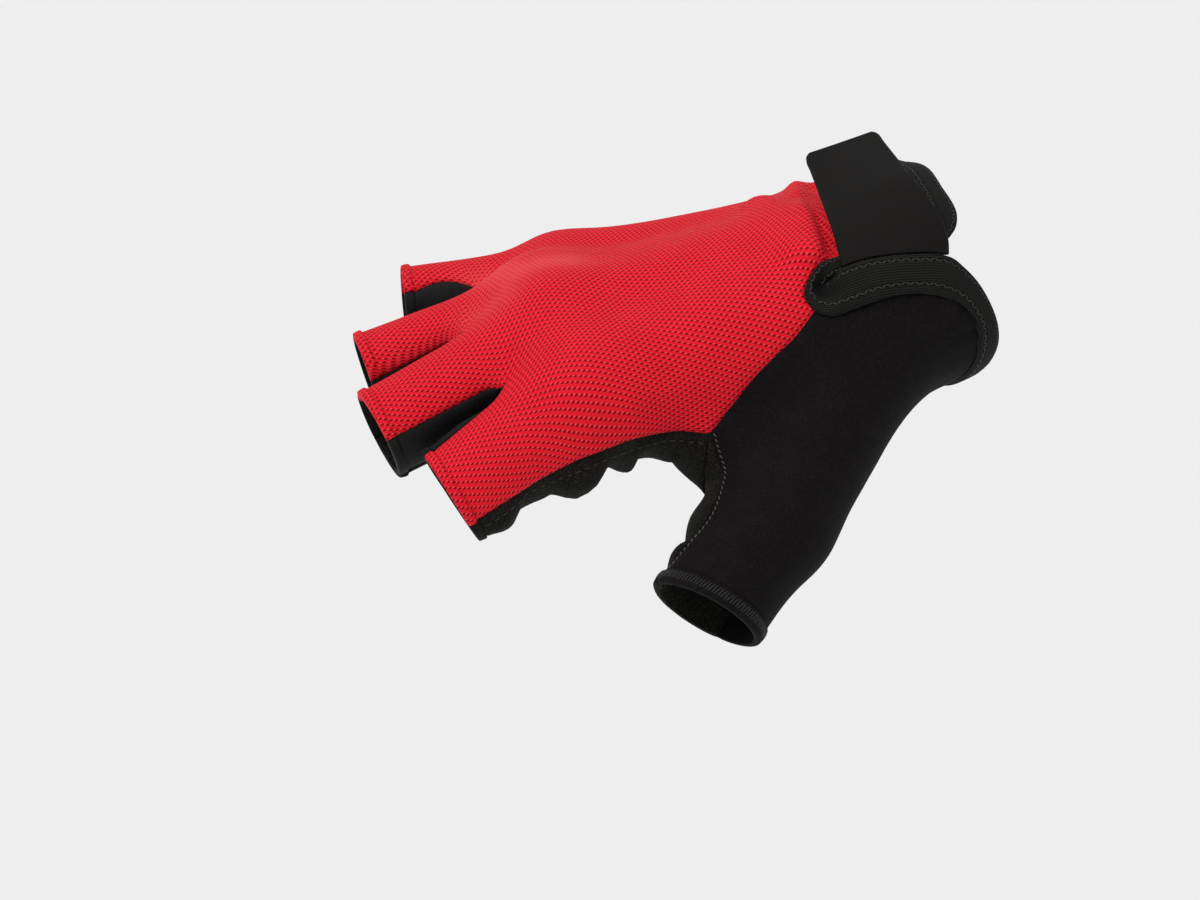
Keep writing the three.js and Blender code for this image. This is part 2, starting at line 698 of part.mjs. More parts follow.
// Binding: round across its width, and built up where the strap is sewn under it.
const tapeProfile = [0.45, 0.95, 1, 0.95, 0.6];
function binding() {
  const stations = [];
  const add = (from, to, count) => {
    for (let i = 0; i < count; i++) {
      stations.push(mix(from, to, i / count));
    }
  };
  add(1, row('thumbCorner'), LOWER_LEG_ROWS);
  add(row('thumbCorner'), row('palmThumbSide'), THUMB_COLUMNS);
  add(row('palmThumbSide'), row('backCorner'), 26);
  add(row('backCorner'), LOOP + 1, UPPER_LEG_ROWS);
  const columns = tapeProfile.length;
  const rows = stations.map((t) => {
    const free = freeEdge(t);
    const cloth = clothEdge(t);
    return sample(columns - 1, (s) => {
      if (s === 0) {
        return free;
      }
      return s === 1 ? cloth : onForm(free.clone().lerp(cloth, s));
    });
  });
  const grid = rows.map((line_, i) => line_.map((unused, j) => i * columns + j));
  grid.push(grid[0]);
  const rise = (n) => {
    const t = stations[Math.floor(n / columns)];
    const share = (n % columns) / (columns - 1);
    const inStrap = THREE.MathUtils.smoothstep(t, 1.6, 2.8) * (1 - THREE.MathUtils.smoothstep(t, 5.4, 6.6));
    const overStrap = (STRAP_LIFT + STRAP_WALL) * inStrap * (1 - share) ** 0.8;
    return TAPE_RISE * tapeProfile[n % columns] + overStrap;
  };
  return sheet(rows.flat(), gridCells(grid), TAPE_WALL, rise, () => 0);
}

// Strap: rows from the binding across the back. Each row: the edge toward the
// fingers and the edge toward the forearm; the smooth hand lies under them.
const strapRows = [
  ['rise1', -0.242, -0.243, 0.42, -0.066, -0.32, 0.48],
  ['rise2', -0.235, -0.185, 0.46, -0.065, -0.27, 0.54],
  ['top1', -0.228, -0.13, 0.48, -0.067, -0.21, 0.58],
  ['top2', -0.222, -0.08, 0.49, -0.069, -0.15, 0.6],
  ['top3', -0.215, -0.035, 0.49, -0.07, -0.1, 0.607],
];
// The free end runs on from the last row: shares of the length, breadth and depth
// at both edges, reached at the row's share of the run; the last row is narrower.
const freeRun = [0.034, 0.226, 0.018, 0.024, 0.3, -0.06];
const freeRows = [
  [0.22, 0],
  [0.48, 0],
  [0.74, 0],
  [0.94, 0],
  [1, 0.05],
];
const STRAP_SEWN = [2.75, 5.85]; // along the binding
function strap() {
  const columns = 6;
  const lifted = (p) => {
    const face = onForm(p, smoothForm);
    return face.addScaledVector(normalAt(face), STRAP_LIFT + STRAP_WALL);
  };
  const sewn = sample(columns, (s) => {
    const t = mix(STRAP_SEWN[0], STRAP_SEWN[1], s);
    const edge = freeEdge(t);
    const away = edge.clone().sub(clothEdge(t)).setLength(1.6 * SEAM_GAP);
    return lifted(edge.clone().add(away));
  });
  const lying = strapRows.map(([, ax, ay, az, bx, by, bz]) => (
    sample(columns, (s) => lifted(place(ax, ay, az).lerp(place(bx, by, bz), s)))
  ));
  const last = lying[lying.length - 1];
  const [ax, ay, az, bx, by, bz] = freeRun;
  const free = freeRows.map(([share, narrow]) => sample(columns, (s) => {
    const across = mix(narrow, 1 - narrow, s);
    const start = last[0].clone().lerp(last[columns], across);
    const bulge = last[Math.round(s * columns)].clone().sub(last[0].clone().lerp(last[columns], s));
    const run = place(ax, ay, az).lerp(place(bx, by, bz), across);
    return start.add(bulge.multiplyScalar(1 - share)).addScaledVector(run, share);
  }));
  const top = [sewn, ...lying, ...free];
  const lengthwise = new THREE.Vector3();
  const crosswise = new THREE.Vector3();
  const down = top.map((line_, i) => line_.map((p, j) => {
    lengthwise.subVectors(top[Math.min(i + 1, top.length - 1)][j], top[Math.max(i - 1, 0)][j]);
    crosswise.subVectors(line_[Math.min(j + 1, columns)], line_[Math.max(j - 1, 0)]);
    return crosswise.clone().cross(lengthwise).normalize().multiplyScalar(-STRAP_WALL).add(p);
  }));
  const width = columns + 1;
  const grid = top.map((line_, i) => line_.map((unused, j) => i * width + j));
  return slab(top.flat(), down.flat(), gridCells(grid));
}

// Patch: sewn flat on the back under the strap.
const patchRows = [
  ['start', -0.185, -0.09, -0.095, -0.09],
  ['middle1', -0.183, -0.03, -0.095, -0.03],
  ['middle2', -0.18, 0.03, -0.095, 0.03],
  ['end', -0.176, 0.09, -0.095, 0.09],
];
function patch() {
  const columns = 4;
  const low = patchRows.map(([, ax, ay, bx, by]) => sample(columns, (s) => {
    const face = onForm(place(mix(ax, bx, s), mix(ay, by, s), 0.45));
    return face.addScaledVector(normalAt(face), SEAM_GAP);
  }));
  const high = low.map((line_) => line_.map((p) => p.clone().addScaledVector(normalAt(p), PATCH_WALL)));
  const grid = low.map((line_, i) => line_.map((unused, j) => i * (columns + 1) + j));
  return slab(high.flat(), low.flat(), gridCells(grid));
}

function slab(top, under, cells) {
  const count = top.length;
  const [a, b, c] = cells[0];
  const up = top[b].clone().sub(top[a]).cross(top[c].clone().sub(top[a]));
  const flip = up.dot(top[a].clone().sub(under[a])) < 0;
  const loops = flip ? cells.map((cell) => [...cell].reverse()) : cells;
  const sides = new Map();
  for (const cell of loops) {
    cell.forEach((n, i) => sides.set(`${n},${cell[(i + 1) % 4]}`, [n, cell[(i + 1) % 4]]));
  }
  const triangles = [];
  for (const [p, q, r, s] of loops) {
    triangles.push(p, q, r, p, r, s);
    triangles.push(p + count, r + count, q + count, p + count, s + count, r + count);
  }
  for (const [p, q] of sides.values()) {
    if (!sides.has(`${q},${p}`)) {
      triangles.push(q, p, p + count, q, p + count, q + count);
    }
  }
  return solid([...top, ...under], triangles);
}

const looks = {
  mesh: { color: 0xd11a2a, roughness: 0.85, metalness: 0 },
  stretch: { color: 0x151517, roughness: 0.9, metalness: 0 },
  suede: { color: 0x1b1a1a, roughness: 0.95, metalness: 0 },
  tape: { color: 0x17181a, roughness: 0.85, metalness: 0 },
  strap: { color: 0x1d1b1a, roughness: 0.7, metalness: 0 },
  patch: { color: 0x101010, roughness: 1, metalness: 0 },
};
const glove = new THREE.Group();
glove.name = 'glove';
function add(name, geometry, look) {
  const mesh = new THREE.Mesh(geometry, new THREE.MeshStandardMaterial(looks[look]));
  mesh.name = name;
  glove.add(mesh);
}

const back = joinStrips(backGroups);
const palmSide = joinStrips(palmGroups);
add('back_panel', sheet(back.points, back.cells, MESH_WALL, back.swell, back.swell), 'mesh');
add('palm_panel', sheet(palmSide.points, palmSide.cells, SUEDE_WALL, palmSide.swell, palmSide.swell), 'suede');
add('thumb_panel', thumbPanel(), 'stretch');
add('thumb_inner', thumbInner(), 'suede');
add('fourchette_index_middle', fourchette(0), 'stretch');
add('fourchette_middle_ring', fourchette(1), 'stretch');
add('fourchette_ring_little', fourchette(2), 'stretch');
add('cuff_binding', binding(), 'tape');
add('wrist_strap', strap(), 'strap');
add('closure_patch', patch(), 'patch');

export default glove;
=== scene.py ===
import math

import bpy
import numpy as np
from mathutils import Matrix, Vector


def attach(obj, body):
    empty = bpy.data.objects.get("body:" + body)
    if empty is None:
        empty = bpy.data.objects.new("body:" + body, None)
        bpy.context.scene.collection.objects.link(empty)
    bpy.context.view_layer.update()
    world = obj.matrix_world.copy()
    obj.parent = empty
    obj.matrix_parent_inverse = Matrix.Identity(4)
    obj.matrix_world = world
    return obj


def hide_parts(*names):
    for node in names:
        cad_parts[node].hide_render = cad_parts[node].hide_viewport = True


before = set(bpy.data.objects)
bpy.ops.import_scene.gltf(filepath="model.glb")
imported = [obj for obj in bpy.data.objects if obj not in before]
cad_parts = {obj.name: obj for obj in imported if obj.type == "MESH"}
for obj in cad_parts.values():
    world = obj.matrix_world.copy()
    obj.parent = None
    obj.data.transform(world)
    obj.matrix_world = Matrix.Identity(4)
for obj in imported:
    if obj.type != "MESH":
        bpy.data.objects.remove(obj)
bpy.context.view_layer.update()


# -------- back panel
# Air-mesh knit from the wrist to four half-finger strips. One piece of cloth,
# cut between the fingers, with a folded and stitched hem at each strip's end.
LENGTH, BREADTH, DEPTH = 131.0, 84.0, 50.0  # mm: to the middle hem, knuckles, wrist
MM = 0.001


def place(shares):
    """Shares of the glove's length, breadth and depth to millimetres."""
    return np.asarray(shares, float) * (LENGTH, BREADTH, DEPTH)


# Centres in shares of the three sizes, radii in shares of the breadth.
joints = {
    "wristThumbSide": (0.122, -0.108, 0.086, 0.245),
    "wristLittleSide": (0.114, 0.129, -0.029, 0.248),
    "indexRoot": (-0.05, -0.123, 0.065, 0.238),
    "middleRoot": (-0.053, -0.05, 0.045, 0.238),
    "ringRoot": (-0.057, -0.011, -0.035, 0.228),
    "littleRoot": (-0.029, 0.152, -0.115, 0.236),
    "indexKnuckle": (-0.662, -0.168, -0.116, 0.163),
    "middleKnuckle": (-0.66, 0.079, -0.084, 0.152),
    "ringKnuckle": (-0.642, 0.262, -0.144, 0.133),
    "littleKnuckle": (-0.553, 0.463, -0.278, 0.131),
    "indexHem": (-0.916, -0.193, -0.428, 0.131),
    "middleHem": (-0.997, 0.062, -0.344, 0.124),
    "ringHem": (-0.96, 0.313, -0.324, 0.12),
    "littleHem": (-0.831, 0.579, -0.304, 0.113),
    "thumbRoot": (-0.157, -0.19, -0.032, 0.196),
    "thumbKnuckle": (-0.428, -0.489, -0.578, 0.156),
    "thumbHem": (-0.582, -0.639, -0.794, 0.152),
    "thenar": (-0.21, -0.123, -0.292, 0.173),
    "web": (-0.482, -0.267, -0.342, 0.126),
    "heel": (-0.19, 0.148, -0.097, 0.146),
}
at = {name: place(v[:3]) for name, v in joints.items()}
radius = {name: v[3] * BREADTH for name, v in joints.items()}
palm_bones = [
    ("wristThumbSide", "indexRoot"), ("wristLittleSide", "littleRoot"),
    ("indexRoot", "indexKnuckle"), ("middleRoot", "middleKnuckle"),
    ("ringRoot", "ringKnuckle"), ("littleRoot", "littleKnuckle"),
    ("indexKnuckle", "middleKnuckle"), ("middleKnuckle", "ringKnuckle"),
    ("ringKnuckle", "littleKnuckle"), ("thumbRoot", "indexRoot"),
    ("thenar", "web"), ("thenar", "thumbKnuckle"),
    ("heel", "littleKnuckle"), ("heel", "thenar"),
]
finger_names = ["index", "middle", "ring", "little"]
PALM_BLEND, FINGER_BLEND, THUMB_BLEND = 0.036 * BREADTH, 0.026 * BREADTH, 0.018 * BREADTH
REACH = 0.15 * LENGTH  # how far a finger's form runs on past its hem
SLOT, SLOT_BLEND = 1.3, 1.2  # mm between neighbouring stalls, and its rounding

# Ridges and dents of the cloth: both ends in shares, half-width and height in mm.
folds = [
    ((-0.2, 0.14, 0.33), (-0.235, -0.16, 0.4), 3.2, -1.3),
    ((-0.25, 0.24, 0.22), (-0.285, -0.14, 0.37), 4.2, 3.0),
    ((-0.865, -0.3, -0.5), (-0.83, -0.26, -0.62), 3.4, 1.7),
    ((-0.745, -0.32, -0.36), (-0.72, -0.28, -0.5), 3.6, 1.7),
    ((-0.655, -0.34, -0.27), (-0.64, -0.3, -0.42), 3.4, 1.1),
]


def to_bone(p, pair, reach=0.0):
    """Distance from points to a cone that tapers from one joint to the next."""
    start, run = at[pair[0]], at[pair[1]] - at[pair[0]]
    away = p - start
    share = np.clip(away @ run / (run @ run), 0, 1 + reach / np.linalg.norm(run))
    gap = np.linalg.norm(away - share[..., None] * run, axis=-1)
    near, far = radius[pair[0]], radius[pair[1]]
    return gap - near - (far - near) * np.minimum(share, 1)


def blend(distances, softness):
    """Smooth union: least distance minus softness times the log of the sum of decays."""
    d = np.stack(distances)
    least = d.min(axis=0)
    return least - softness * np.log(np.exp((least - d) / softness).sum(axis=0))


def hand(p):
    """Distances outside the palm and the thumb."""
    thumb = [to_bone(p, ("thumbRoot", "thumbKnuckle")), to_bone(p, ("thumbKnuckle", "thumbHem"), REACH)]
    return [blend([to_bone(p, pair) for pair in palm_bones], PALM_BLEND), blend(thumb, THUMB_BLEND)]


def bell(x, width):
    return np.exp(-(x / width)**2)


def ridges(p, rows):
    """Height of ridges and dents that lie along lines of points, each a bell across."""
    height = np.zeros(p.shape[:-1])
    for *points, width, rise in rows:
        off = np.full(p.shape[:-1], 1e3)
        for start, end in zip(points[:-1], points[1:]):
            a, run = place(start), place(end) - place(start)
            share = np.clip((p - a) @ run / (run @ run), 0, 1)
            off = np.minimum(off, np.linalg.norm(p - a - share[..., None] * run, axis=-1))
        height += rise * bell(off, width)
    return height


def finger(p, k):
    return to_bone(p, (finger_names[k] + "Knuckle", finger_names[k] + "Hem"), REACH)


def smooth_skin(p):
    return blend(hand(p) + [finger(p, k) for k in range(4)], FINGER_BLEND)


def whole_skin(p):
    return smooth_skin(p) - ridges(p, folds)


def stall_skin(k):
    """One finger with the hand, cut back from its neighbours by half the slot."""
    near = [n for n in (k - 1, k + 1) if 0 <= n < 4]

    def skin(p):
        own = finger(p, k)
        limits = [own] + [(own - finger(p, n) + SLOT) / 2 for n in near]
        trimmed = -blend([-d for d in limits], SLOT_BLEND)
        return blend(hand(p) + [trimmed], FINGER_BLEND) - ridges(p, folds)
    return skin


stalls = [stall_skin(k) for k in range(4)]


def between(g):
    """The two stalls beside slot g, as one skin."""
    return lambda p: np.minimum(stalls[g](p), stalls[g + 1](p))


def mixed(weight, first, second):
    """A skin that turns from the first to the second as weight goes from 0 to 1."""
    return lambda p: (1 - weight) * first(p) + weight * second(p)


def slope(p, skin):
    """Gradient of a skin, by differences over a fifth of a millimetre each way."""
    return np.stack([skin(p + s) - skin(p - s) for s in np.eye(3) * 0.2], axis=-1) / 0.4


def settle(p, skin=whole_skin, rounds=6):
    """Moves points onto a skin by stepping down its slope."""
    p = np.array(p, float)
    for _ in range(rounds):
        g = slope(p, skin)
        p = p - g * (skin(p) / np.maximum((g * g).sum(-1), 0.3))[..., None]
    return p


def settle_inside(grid, skin=whole_skin):
    """The same for a grid whose two side borders stay where they are."""
    moved = settle(grid, skin)
    moved[:, [0, -1]] = grid[:, [0, -1]]
    return moved


def unit(v):
    return v / np.maximum(np.linalg.norm(v, axis=-1, keepdims=True), 1e-9)


def outward(p, skin=whole_skin):
    return unit(slope(p, skin))


def through(points, closed=False):
    """Centripetal Catmull-Rom through landmarks, read at landmark number t."""
    pts = np.asarray(points, float)
    n = len(pts)
    if closed:
        ring = np.concatenate([pts[-1:], pts, pts[:2]])
    else:
        ring = np.concatenate([2 * pts[:1] - pts[1:2], pts, 2 * pts[-1:] - pts[-2:-1]])

    def read(t):
        t = np.asarray(t, float)
        t = t % n if closed else np.clip(t, 0, n - 1)
        i = np.minimum(np.floor(t).astype(int), n - 1 if closed else n - 2)
        w = (t - i)[..., None]
        a, b, c, d = (ring[i + s] for s in range(4))
        gaps = [np.maximum(np.sqrt(np.linalg.norm(q - r, axis=-1, keepdims=True)), 1e-4)
                for q, r in ((b, a), (c, b), (d, c))]
        u = ((b - a) / gaps[0] - (c - a) / (gaps[0] + gaps[1]) + (c - b) / gaps[1]) * gaps[1]
        v = ((c - b) / gaps[1] - (d - b) / (gaps[1] + gaps[2]) + (d - c) / gaps[2]) * gaps[1]
        return b + u * w + (3 * c - 3 * b - 2 * u - v) * w**2 + (2 * b - 2 * c + u + v) * w**3
    return read


def seam_line(points, closed=False):
    """Line over the hand through points, read at point number t."""
    curve = through(points, closed)
    return lambda t: settle(curve(t))


# The binding round the wrist and the slit: cloth edge x, y, z, free edge x, y, z.
binding_rows = np.array([
    (-0.31, -0.262, 0.28, -0.269, -0.2495, 0.337),
    (-0.301, -0.298, 0.236, -0.266, -0.252, 0.335),
    (-0.279, -0.319, 0.217, -0.256, -0.254, 0.336),
    (-0.241, -0.33, 0.235, -0.233, -0.254, 0.346),
    (-0.19, -0.339, 0.268, -0.187, -0.266, 0.372),
    (-0.14, -0.352, 0.276, -0.129, -0.293, 0.392),
    (-0.094, -0.372, 0.254, -0.062, -0.328, 0.382),
    (-0.06, -0.388, 0.21, -0.031, -0.359, 0.312),
    (-0.033, -0.399, 0.11, 0.004, -0.39, 0.13),
    (-0.025, -0.392, -0.04, 0.019, -0.382, -0.03),
    (-0.026, -0.36, -0.18, 0.018, -0.35, -0.17),
    (-0.036, -0.286, -0.35, 0.008, -0.286, -0.35),
    (-0.042, -0.167, -0.44, 0.002, -0.167, -0.44),
    (-0.046, -0.048, -0.47, 0, -0.048, -0.46),
    (-0.046, 0.071, -0.476, 0, 0.071, -0.47),
    (-0.046, 0.19, -0.45, 0, 0.19, -0.44),
    (-0.046, 0.298, -0.34, 0, 0.298, -0.34),
    (-0.046, 0.369, -0.16, 0, 0.369, -0.16),
    (-0.046, 0.381, 0.02, 0, 0.381, 0.02),
    (-0.046, 0.345, 0.2, 0, 0.345, 0.2),
    (-0.048, 0.255, 0.36, 0, 0.255, 0.37),
    (-0.05, 0.14, 0.46, 0, 0.14, 0.47),
    (-0.055, 0.01, 0.51, -0.008, 0, 0.52),
    (-0.065, -0.118, 0.52, -0.021, -0.131, 0.541),
    (-0.075, -0.205, 0.48, -0.024, -0.234, 0.497),
    (-0.095, -0.24, 0.45, -0.047, -0.28, 0.456),
    (-0.136, -0.236, 0.43, -0.12, -0.286, 0.398),
    (-0.185, -0.218, 0.41, -0.186, -0.259, 0.378),
    (-0.234, -0.206, 0.385, -0.233, -0.247, 0.352),
    (-0.265, -0.204, 0.364, -0.256, -0.247, 0.344),
    (-0.291, -0.226, 0.328, -0.266, -0.247, 0.34),
])
SLIT_END_LOW, THUMB_CORNER, PALM_THUMB_SIDE, SIDE_SEAM, BACK_CORNER = 1, 6, 11, 17, 24
LOOP = len(binding_rows)
cloth_edge = seam_line(place(binding_rows[:, :3]), closed=True)
free_edge = seam_line(place(binding_rows[:, 3:]), closed=True)


def mix(a, b, share):
    return a + (b - a) * share


def smooth(x, low=0.0, high=1.0):
    """Smoothstep: s^2 (3 - 2 s) for the share s of the way from low to high."""
    s = np.clip((np.asarray(x, float) - low) / (high - low), 0, 1)
    return s * s * (3 - 2 * s)


diagonal_seam = seam_line(settle(place([
    cloth_edge(SLIT_END_LOW) / place(1), (-0.344, -0.321, 0.146), (-0.381, -0.332, 0.086),
    (-0.419, -0.344, 0.014), (-0.456, -0.352, -0.08), (-0.508, -0.367, -0.2),
])))


def digit_frame(name):
    """Hem centre, direction, and the back and sideways directions of a finger."""
    end = at[name + "Hem"]
    axis = unit(end - at[name + "Knuckle"])
    up = unit(np.array([0, 0, 1.0]) - axis * axis[2])
    across = np.array([0, 1.0, 0]) - axis * axis[1]
    return end, axis, up, unit(across - up * (across @ up))


digit_frames = [digit_frame(name) for name in finger_names]
# Angles round each finger where its strips begin and end, from the back's middle.
BACK_FROM, BACK_TO = (-91, -61, -60, -34), (28, 50, 50, 98)
PALM_FROM, PALM_TO = (-91, -130, -142, -112), (116, 130, 130, 98)
BODY_AXIS = np.array([-1.0, 0, 0])


def on_digit(k, degrees, back):
    """Guess at a point of finger k at an angle and a distance back from its hem."""
    end, axis, up, across = digit_frames[k]
    a = np.radians(np.asarray(degrees, float))[..., None]
    back = np.asarray(back, float)[..., None]
    r = radius[finger_names[k] + "Hem"]
    return end - axis * back + up * (r * np.cos(a)) + across * (r * np.sin(a))


def spine(names, axis_end, turn_from, turn_to):
    """Centre line through three joints, read by x, and its turning direction."""
    a, b, c = (at[n] for n in names)

    def read(x):
        first = (x > b[0])[..., None]
        start, end = np.where(first, a, b), np.where(first, b, c)
        share = (x - start[..., 0]) / (end[..., 0] - start[..., 0])
        turn = smooth(-x, -mix(a[0], b[0], turn_from), -mix(b[0], c[0], turn_to))[..., None]
        return mix(start, end, share[..., None]), unit(mix(BODY_AXIS, axis_end, turn))
    return read


digit_spines = [
    spine([n + "Root", n + "Knuckle", n + "Hem"], digit_frames[k][1], 0.85, 0.35)
    for k, n in enumerate(finger_names)
]


def sweep(spine_read, start, end, shares, side=1):
    """Rows of points that turn about the spine from one border to the other."""
    if side < 0:
        return sweep(spine_read, end, start, 1 - shares[::-1])[:, ::-1]
    base, axis = spine_read((start[:, 0] + end[:, 0]) / 2)
    f, t = start - base, end - base
    f_along, t_along = (f * axis).sum(-1), (t * axis).sum(-1)
    f, t = f - axis * f_along[:, None], t - axis * t_along[:, None]
    turn = np.arctan2((axis * np.cross(f, t)).sum(-1), (f * t).sum(-1)) % (2 * math.pi)
    angle = turn[:, None, None] * shares[None, :, None]
    f_len, t_len = np.linalg.norm(f, axis=-1), np.linalg.norm(t, axis=-1)
    ray = unit(f)[:, None] * np.cos(angle) + np.cross(axis, unit(f))[:, None] * np.sin(angle)
    points = ray * mix(f_len[:, None], t_len[:, None], shares[None])[..., None]
    points = points + axis[:, None] * mix(f_along[:, None], t_along[:, None], shares[None])[..., None]
    points = points + base[:, None]
    points[:, 0], points[:, -1] = start, end
    return points


back_tips = settle(place([(-0.804, -0.082, -0.034), (-0.82, 0.168, -0.012), (-0.731, 0.457, -0.12)]))
palm_tips = settle(place([(-0.78, -0.055, -0.46), (-0.79, 0.2, -0.44), (-0.68, 0.44, -0.46)]))
side_seam = seam_line(np.concatenate([
    settle(place([(-0.508, -0.367, -0.2), (-0.58, -0.357, -0.172), (-0.652, -0.36, -0.145),
                  (-0.725, -0.348, -0.205)])),
    settle(on_digit(0, -89, 0.125 * LENGTH)[None], stalls[0]),
]))
BODY = 21.0  # rows of the coarse panel from the binding to the slots' tips
UPPER_LEG, DIAGONAL, SIDE, LOWER_LEG, WEB = 12, 5, 4, 5, 7  # its rows along each border
FINGER_HEM = 1.8
HEM_START = 1.35 * FINGER_HEM  # where the fold of the hem ends, back from its edge
body_rows = np.linspace(0, BODY, 106)
strip_shares = np.linspace(0, 1, 31)[1:]
hem_shares = np.array([0.97, 0.93, 0.88, 0.8, 0.66, 0.5, 0.34, 0.2, 0.1, 0.03, 0.0])
slot_shape = {(2, 50): (0.5, -8), (3, -34): (0.5, 12)}  # finger and angle: bluntness, bow
hem_lean = {(0, -91): 2.5, (0, 28): 1.6, (0, 116): 1.6}  # finger and angle: mm further out


def strip_seam(k, start, degrees):
    """One seam of a finger strip: from its slot's tip to the hem, then over the hem."""
    end, axis, up, across = digit_frames[k]
    q = start - end
    depth = -(q @ axis)
    first = math.degrees(math.atan2(q @ across, q @ up))
    if abs(first + 360 - degrees) < abs(first - degrees):
        first += 360
    blunt, bow = slot_shape.get((k, degrees), (0.85, 0))
    turned = mix(first, degrees, strip_shares**blunt) + bow * np.sin(math.pi * strip_shares)
    on_hem = np.ones(len(hem_shares))
    backs = np.concatenate([mix(depth, HEM_START, strip_shares), hem_shares * HEM_START])
    backs -= hem_lean.get((k, degrees), 0) * np.concatenate([smooth(strip_shares), on_hem])
    rows = on_digit(k, np.concatenate([turned, degrees * on_hem]), backs)
    near_tip = 1 - smooth(strip_shares, 0, 0.25)
    rows[:len(strip_shares)] += (start - on_digit(k, first, depth)) * near_tip[:, None]
    weight = np.concatenate([1 - near_tip, on_hem])
    return settle(rows, mixed(weight, whole_skin, stalls[k])), weight


def valley(start, tip):
    """Line over the hand from the binding to the tip of a slot between two fingers."""
    rows = settle(mix(start, tip, (body_rows / BODY)[:, None]))
    rows[0], rows[-1] = start, tip
    return rows


def border_line(rows, legs):
    """A border that follows lines in turn; each leg is its rows, a line, and numbers from and to."""
    points, passed = None, 0
    for count, line, start, end in legs:
        leg = line(mix(start, end, np.clip((rows - passed) / count, 0, 1)))
        points = leg if points is None else np.where(rows[:, None] <= passed, points, leg)
        passed += count
    return points


def little_border(i):
    """Little-finger side of the hand, where the back and the palm meet."""
    share = i / BODY
    x = mix(-0.046, -0.725, share) * LENGTH
    base, _ = digit_spines[3](x)
    a = math.radians(98)
    out = mix(0.2, 0.12, share)[:, None] * BREADTH
    rows = settle(base + out * np.array([0, math.sin(a), math.cos(a)]))
    rows[0] = cloth_edge(float(SIDE_SEAM))
    return rows


def begin_on(line, grid, over):
    """A grid whose first row is moved onto a line, and the next ones less and less."""
    fade = np.clip(1 - np.arange(len(grid)) / over, 0, 1)[:, None, None]
    return grid + (line - grid[0]) * fade


COLUMNS = 24
shares = np.linspace(0, 1, COLUMNS + 1)


def panel_group(borders, g, first_station, side, from_degrees, to_degrees):
    """One finger's share of a panel: rows from the binding to the hem, and their normals."""
    left, right = borders[g], borders[g + 1]
    left_strip, weight = strip_seam(g, left[-1], from_degrees)
    right_strip, _ = strip_seam(g, right[-1], to_degrees)
    left, right = np.concatenate([left, left_strip]), np.concatenate([right, right_strip])
    start = cloth_edge(mix(first_station, SIDE_SEAM, (g + shares) / 4))
    rows = begin_on(start, sweep(digit_spines[g], left, right, shares, side), 5)
    w = np.concatenate([np.zeros(len(body_rows)), weight])[:, None]
    skin = mixed(w, whole_skin, stalls[g])
    rows = settle_inside(rows, skin)
    return rows, outward(rows, skin)


def panel_groups(first_border, tips, first_station, side, from_degrees, to_degrees):
    """A panel in four groups, side by side from its thumb-side border to the little finger."""
    borders = [first_border]
    for g, tip in enumerate(tips):
        borders.append(valley(cloth_edge(mix(first_station, SIDE_SEAM, (g + 1) / 4)), tip))
    borders.append(little_side)
    return [panel_group(borders, g, first_station, side, from_degrees[g], to_degrees[g])
            for g in range(4)]


little_side = little_border(body_rows)
back_border = border_line(body_rows, [
    (UPPER_LEG, cloth_edge, BACK_CORNER, LOOP + 1), (DIAGONAL, diagonal_seam, 0, 5),
    (SIDE, side_seam, 0, 4),
])
back_groups = panel_groups(back_border, back_tips, BACK_CORNER, 1, BACK_FROM, BACK_TO)


def joined(groups):
    """Points, normals and point numbers of grids side by side, which share their borders."""
    body, total = len(body_rows), 0
    points, normals, numbers = [], [], []
    for rows, normal in groups:
        own = np.ones(rows.shape[:2], bool)
        own[:body, 0] = not numbers
        number = np.zeros(own.shape, int)
        number[own] = total + np.arange(own.sum())
        if numbers:
            number[:body, 0] = numbers[-1][:body, -1]
        total += own.sum()
        points.append(rows[own])
        normals.append(normal[own])
        numbers.append(number)
    return np.concatenate(points), np.concatenate(normals), numbers


def cells(numbers):
    """Quads of grids of point numbers."""
    return np.concatenate([
        np.stack([n[:-1, :-1], n[1:, :-1], n[1:, 1:], n[:-1, 1:]], -1).reshape(-1, 4) for n in numbers
    ])


def border_sides(quads, count):
    """Sides that only one of the quads over count points has."""
    sides = np.concatenate([quads[:, [i, (i + 1) % 4]] for i in range(4)]).astype(np.int64)
    there, back = sides @ (count, 1), sides @ (1, count)
    return sides[~np.isin(there, back)]


def walked(points, axis=0):
    """Distance walked along one axis of a grid of points, from 0 at its start."""
    step = np.linalg.norm(np.diff(points, axis=axis), axis=-1)
    return np.insert(np.cumsum(step, axis=axis), 0, 0, axis=axis)


def knit_map(groups):
    """Place of each point in the flat cloth, in mm: arc lengths along and across it."""
    body, half = len(body_rows), COLUMNS // 2
    middle = groups[1][0][:, -1]
    order = np.argsort(-middle[:body, 0])
    ahead, run = -middle[order, 0], walked(middle[:, [0, 2]])[order]
    maps = [None] * 4
    for side, sign in (((2, 3), 1), ((1, 0), -1)):
        across_edge = middle[:body, 1]
        for g in side:
            seq = groups[g][0][:, ::sign]
            x = -seq[:body, :, 0]
            past = np.minimum(x - ahead[0], 0) + np.maximum(x - ahead[-1], 0)
            along = np.interp(x, ahead, run) + past
            step = np.linalg.norm(np.diff(seq[:body], axis=1), axis=-1)
            sideways = np.sqrt(np.maximum(step**2 - np.diff(along, axis=1)**2, 0.2 * step**2))
            across = across_edge[:, None] + sign * np.insert(np.cumsum(sideways, axis=1), 0, 0, axis=1)
            across_edge = across[:, -1]
            strip = seq[body - 1:]
            wide = walked(strip[1:], 1)
            strip_across = across[-1, half] + sign * (wide - wide[:, half:half + 1])
            uv = np.stack([np.concatenate([along, along[-1] + walked(strip)[1:]]),
                           np.concatenate([across, strip_across])], -1)
            maps[g] = uv[:, ::sign]
    return maps


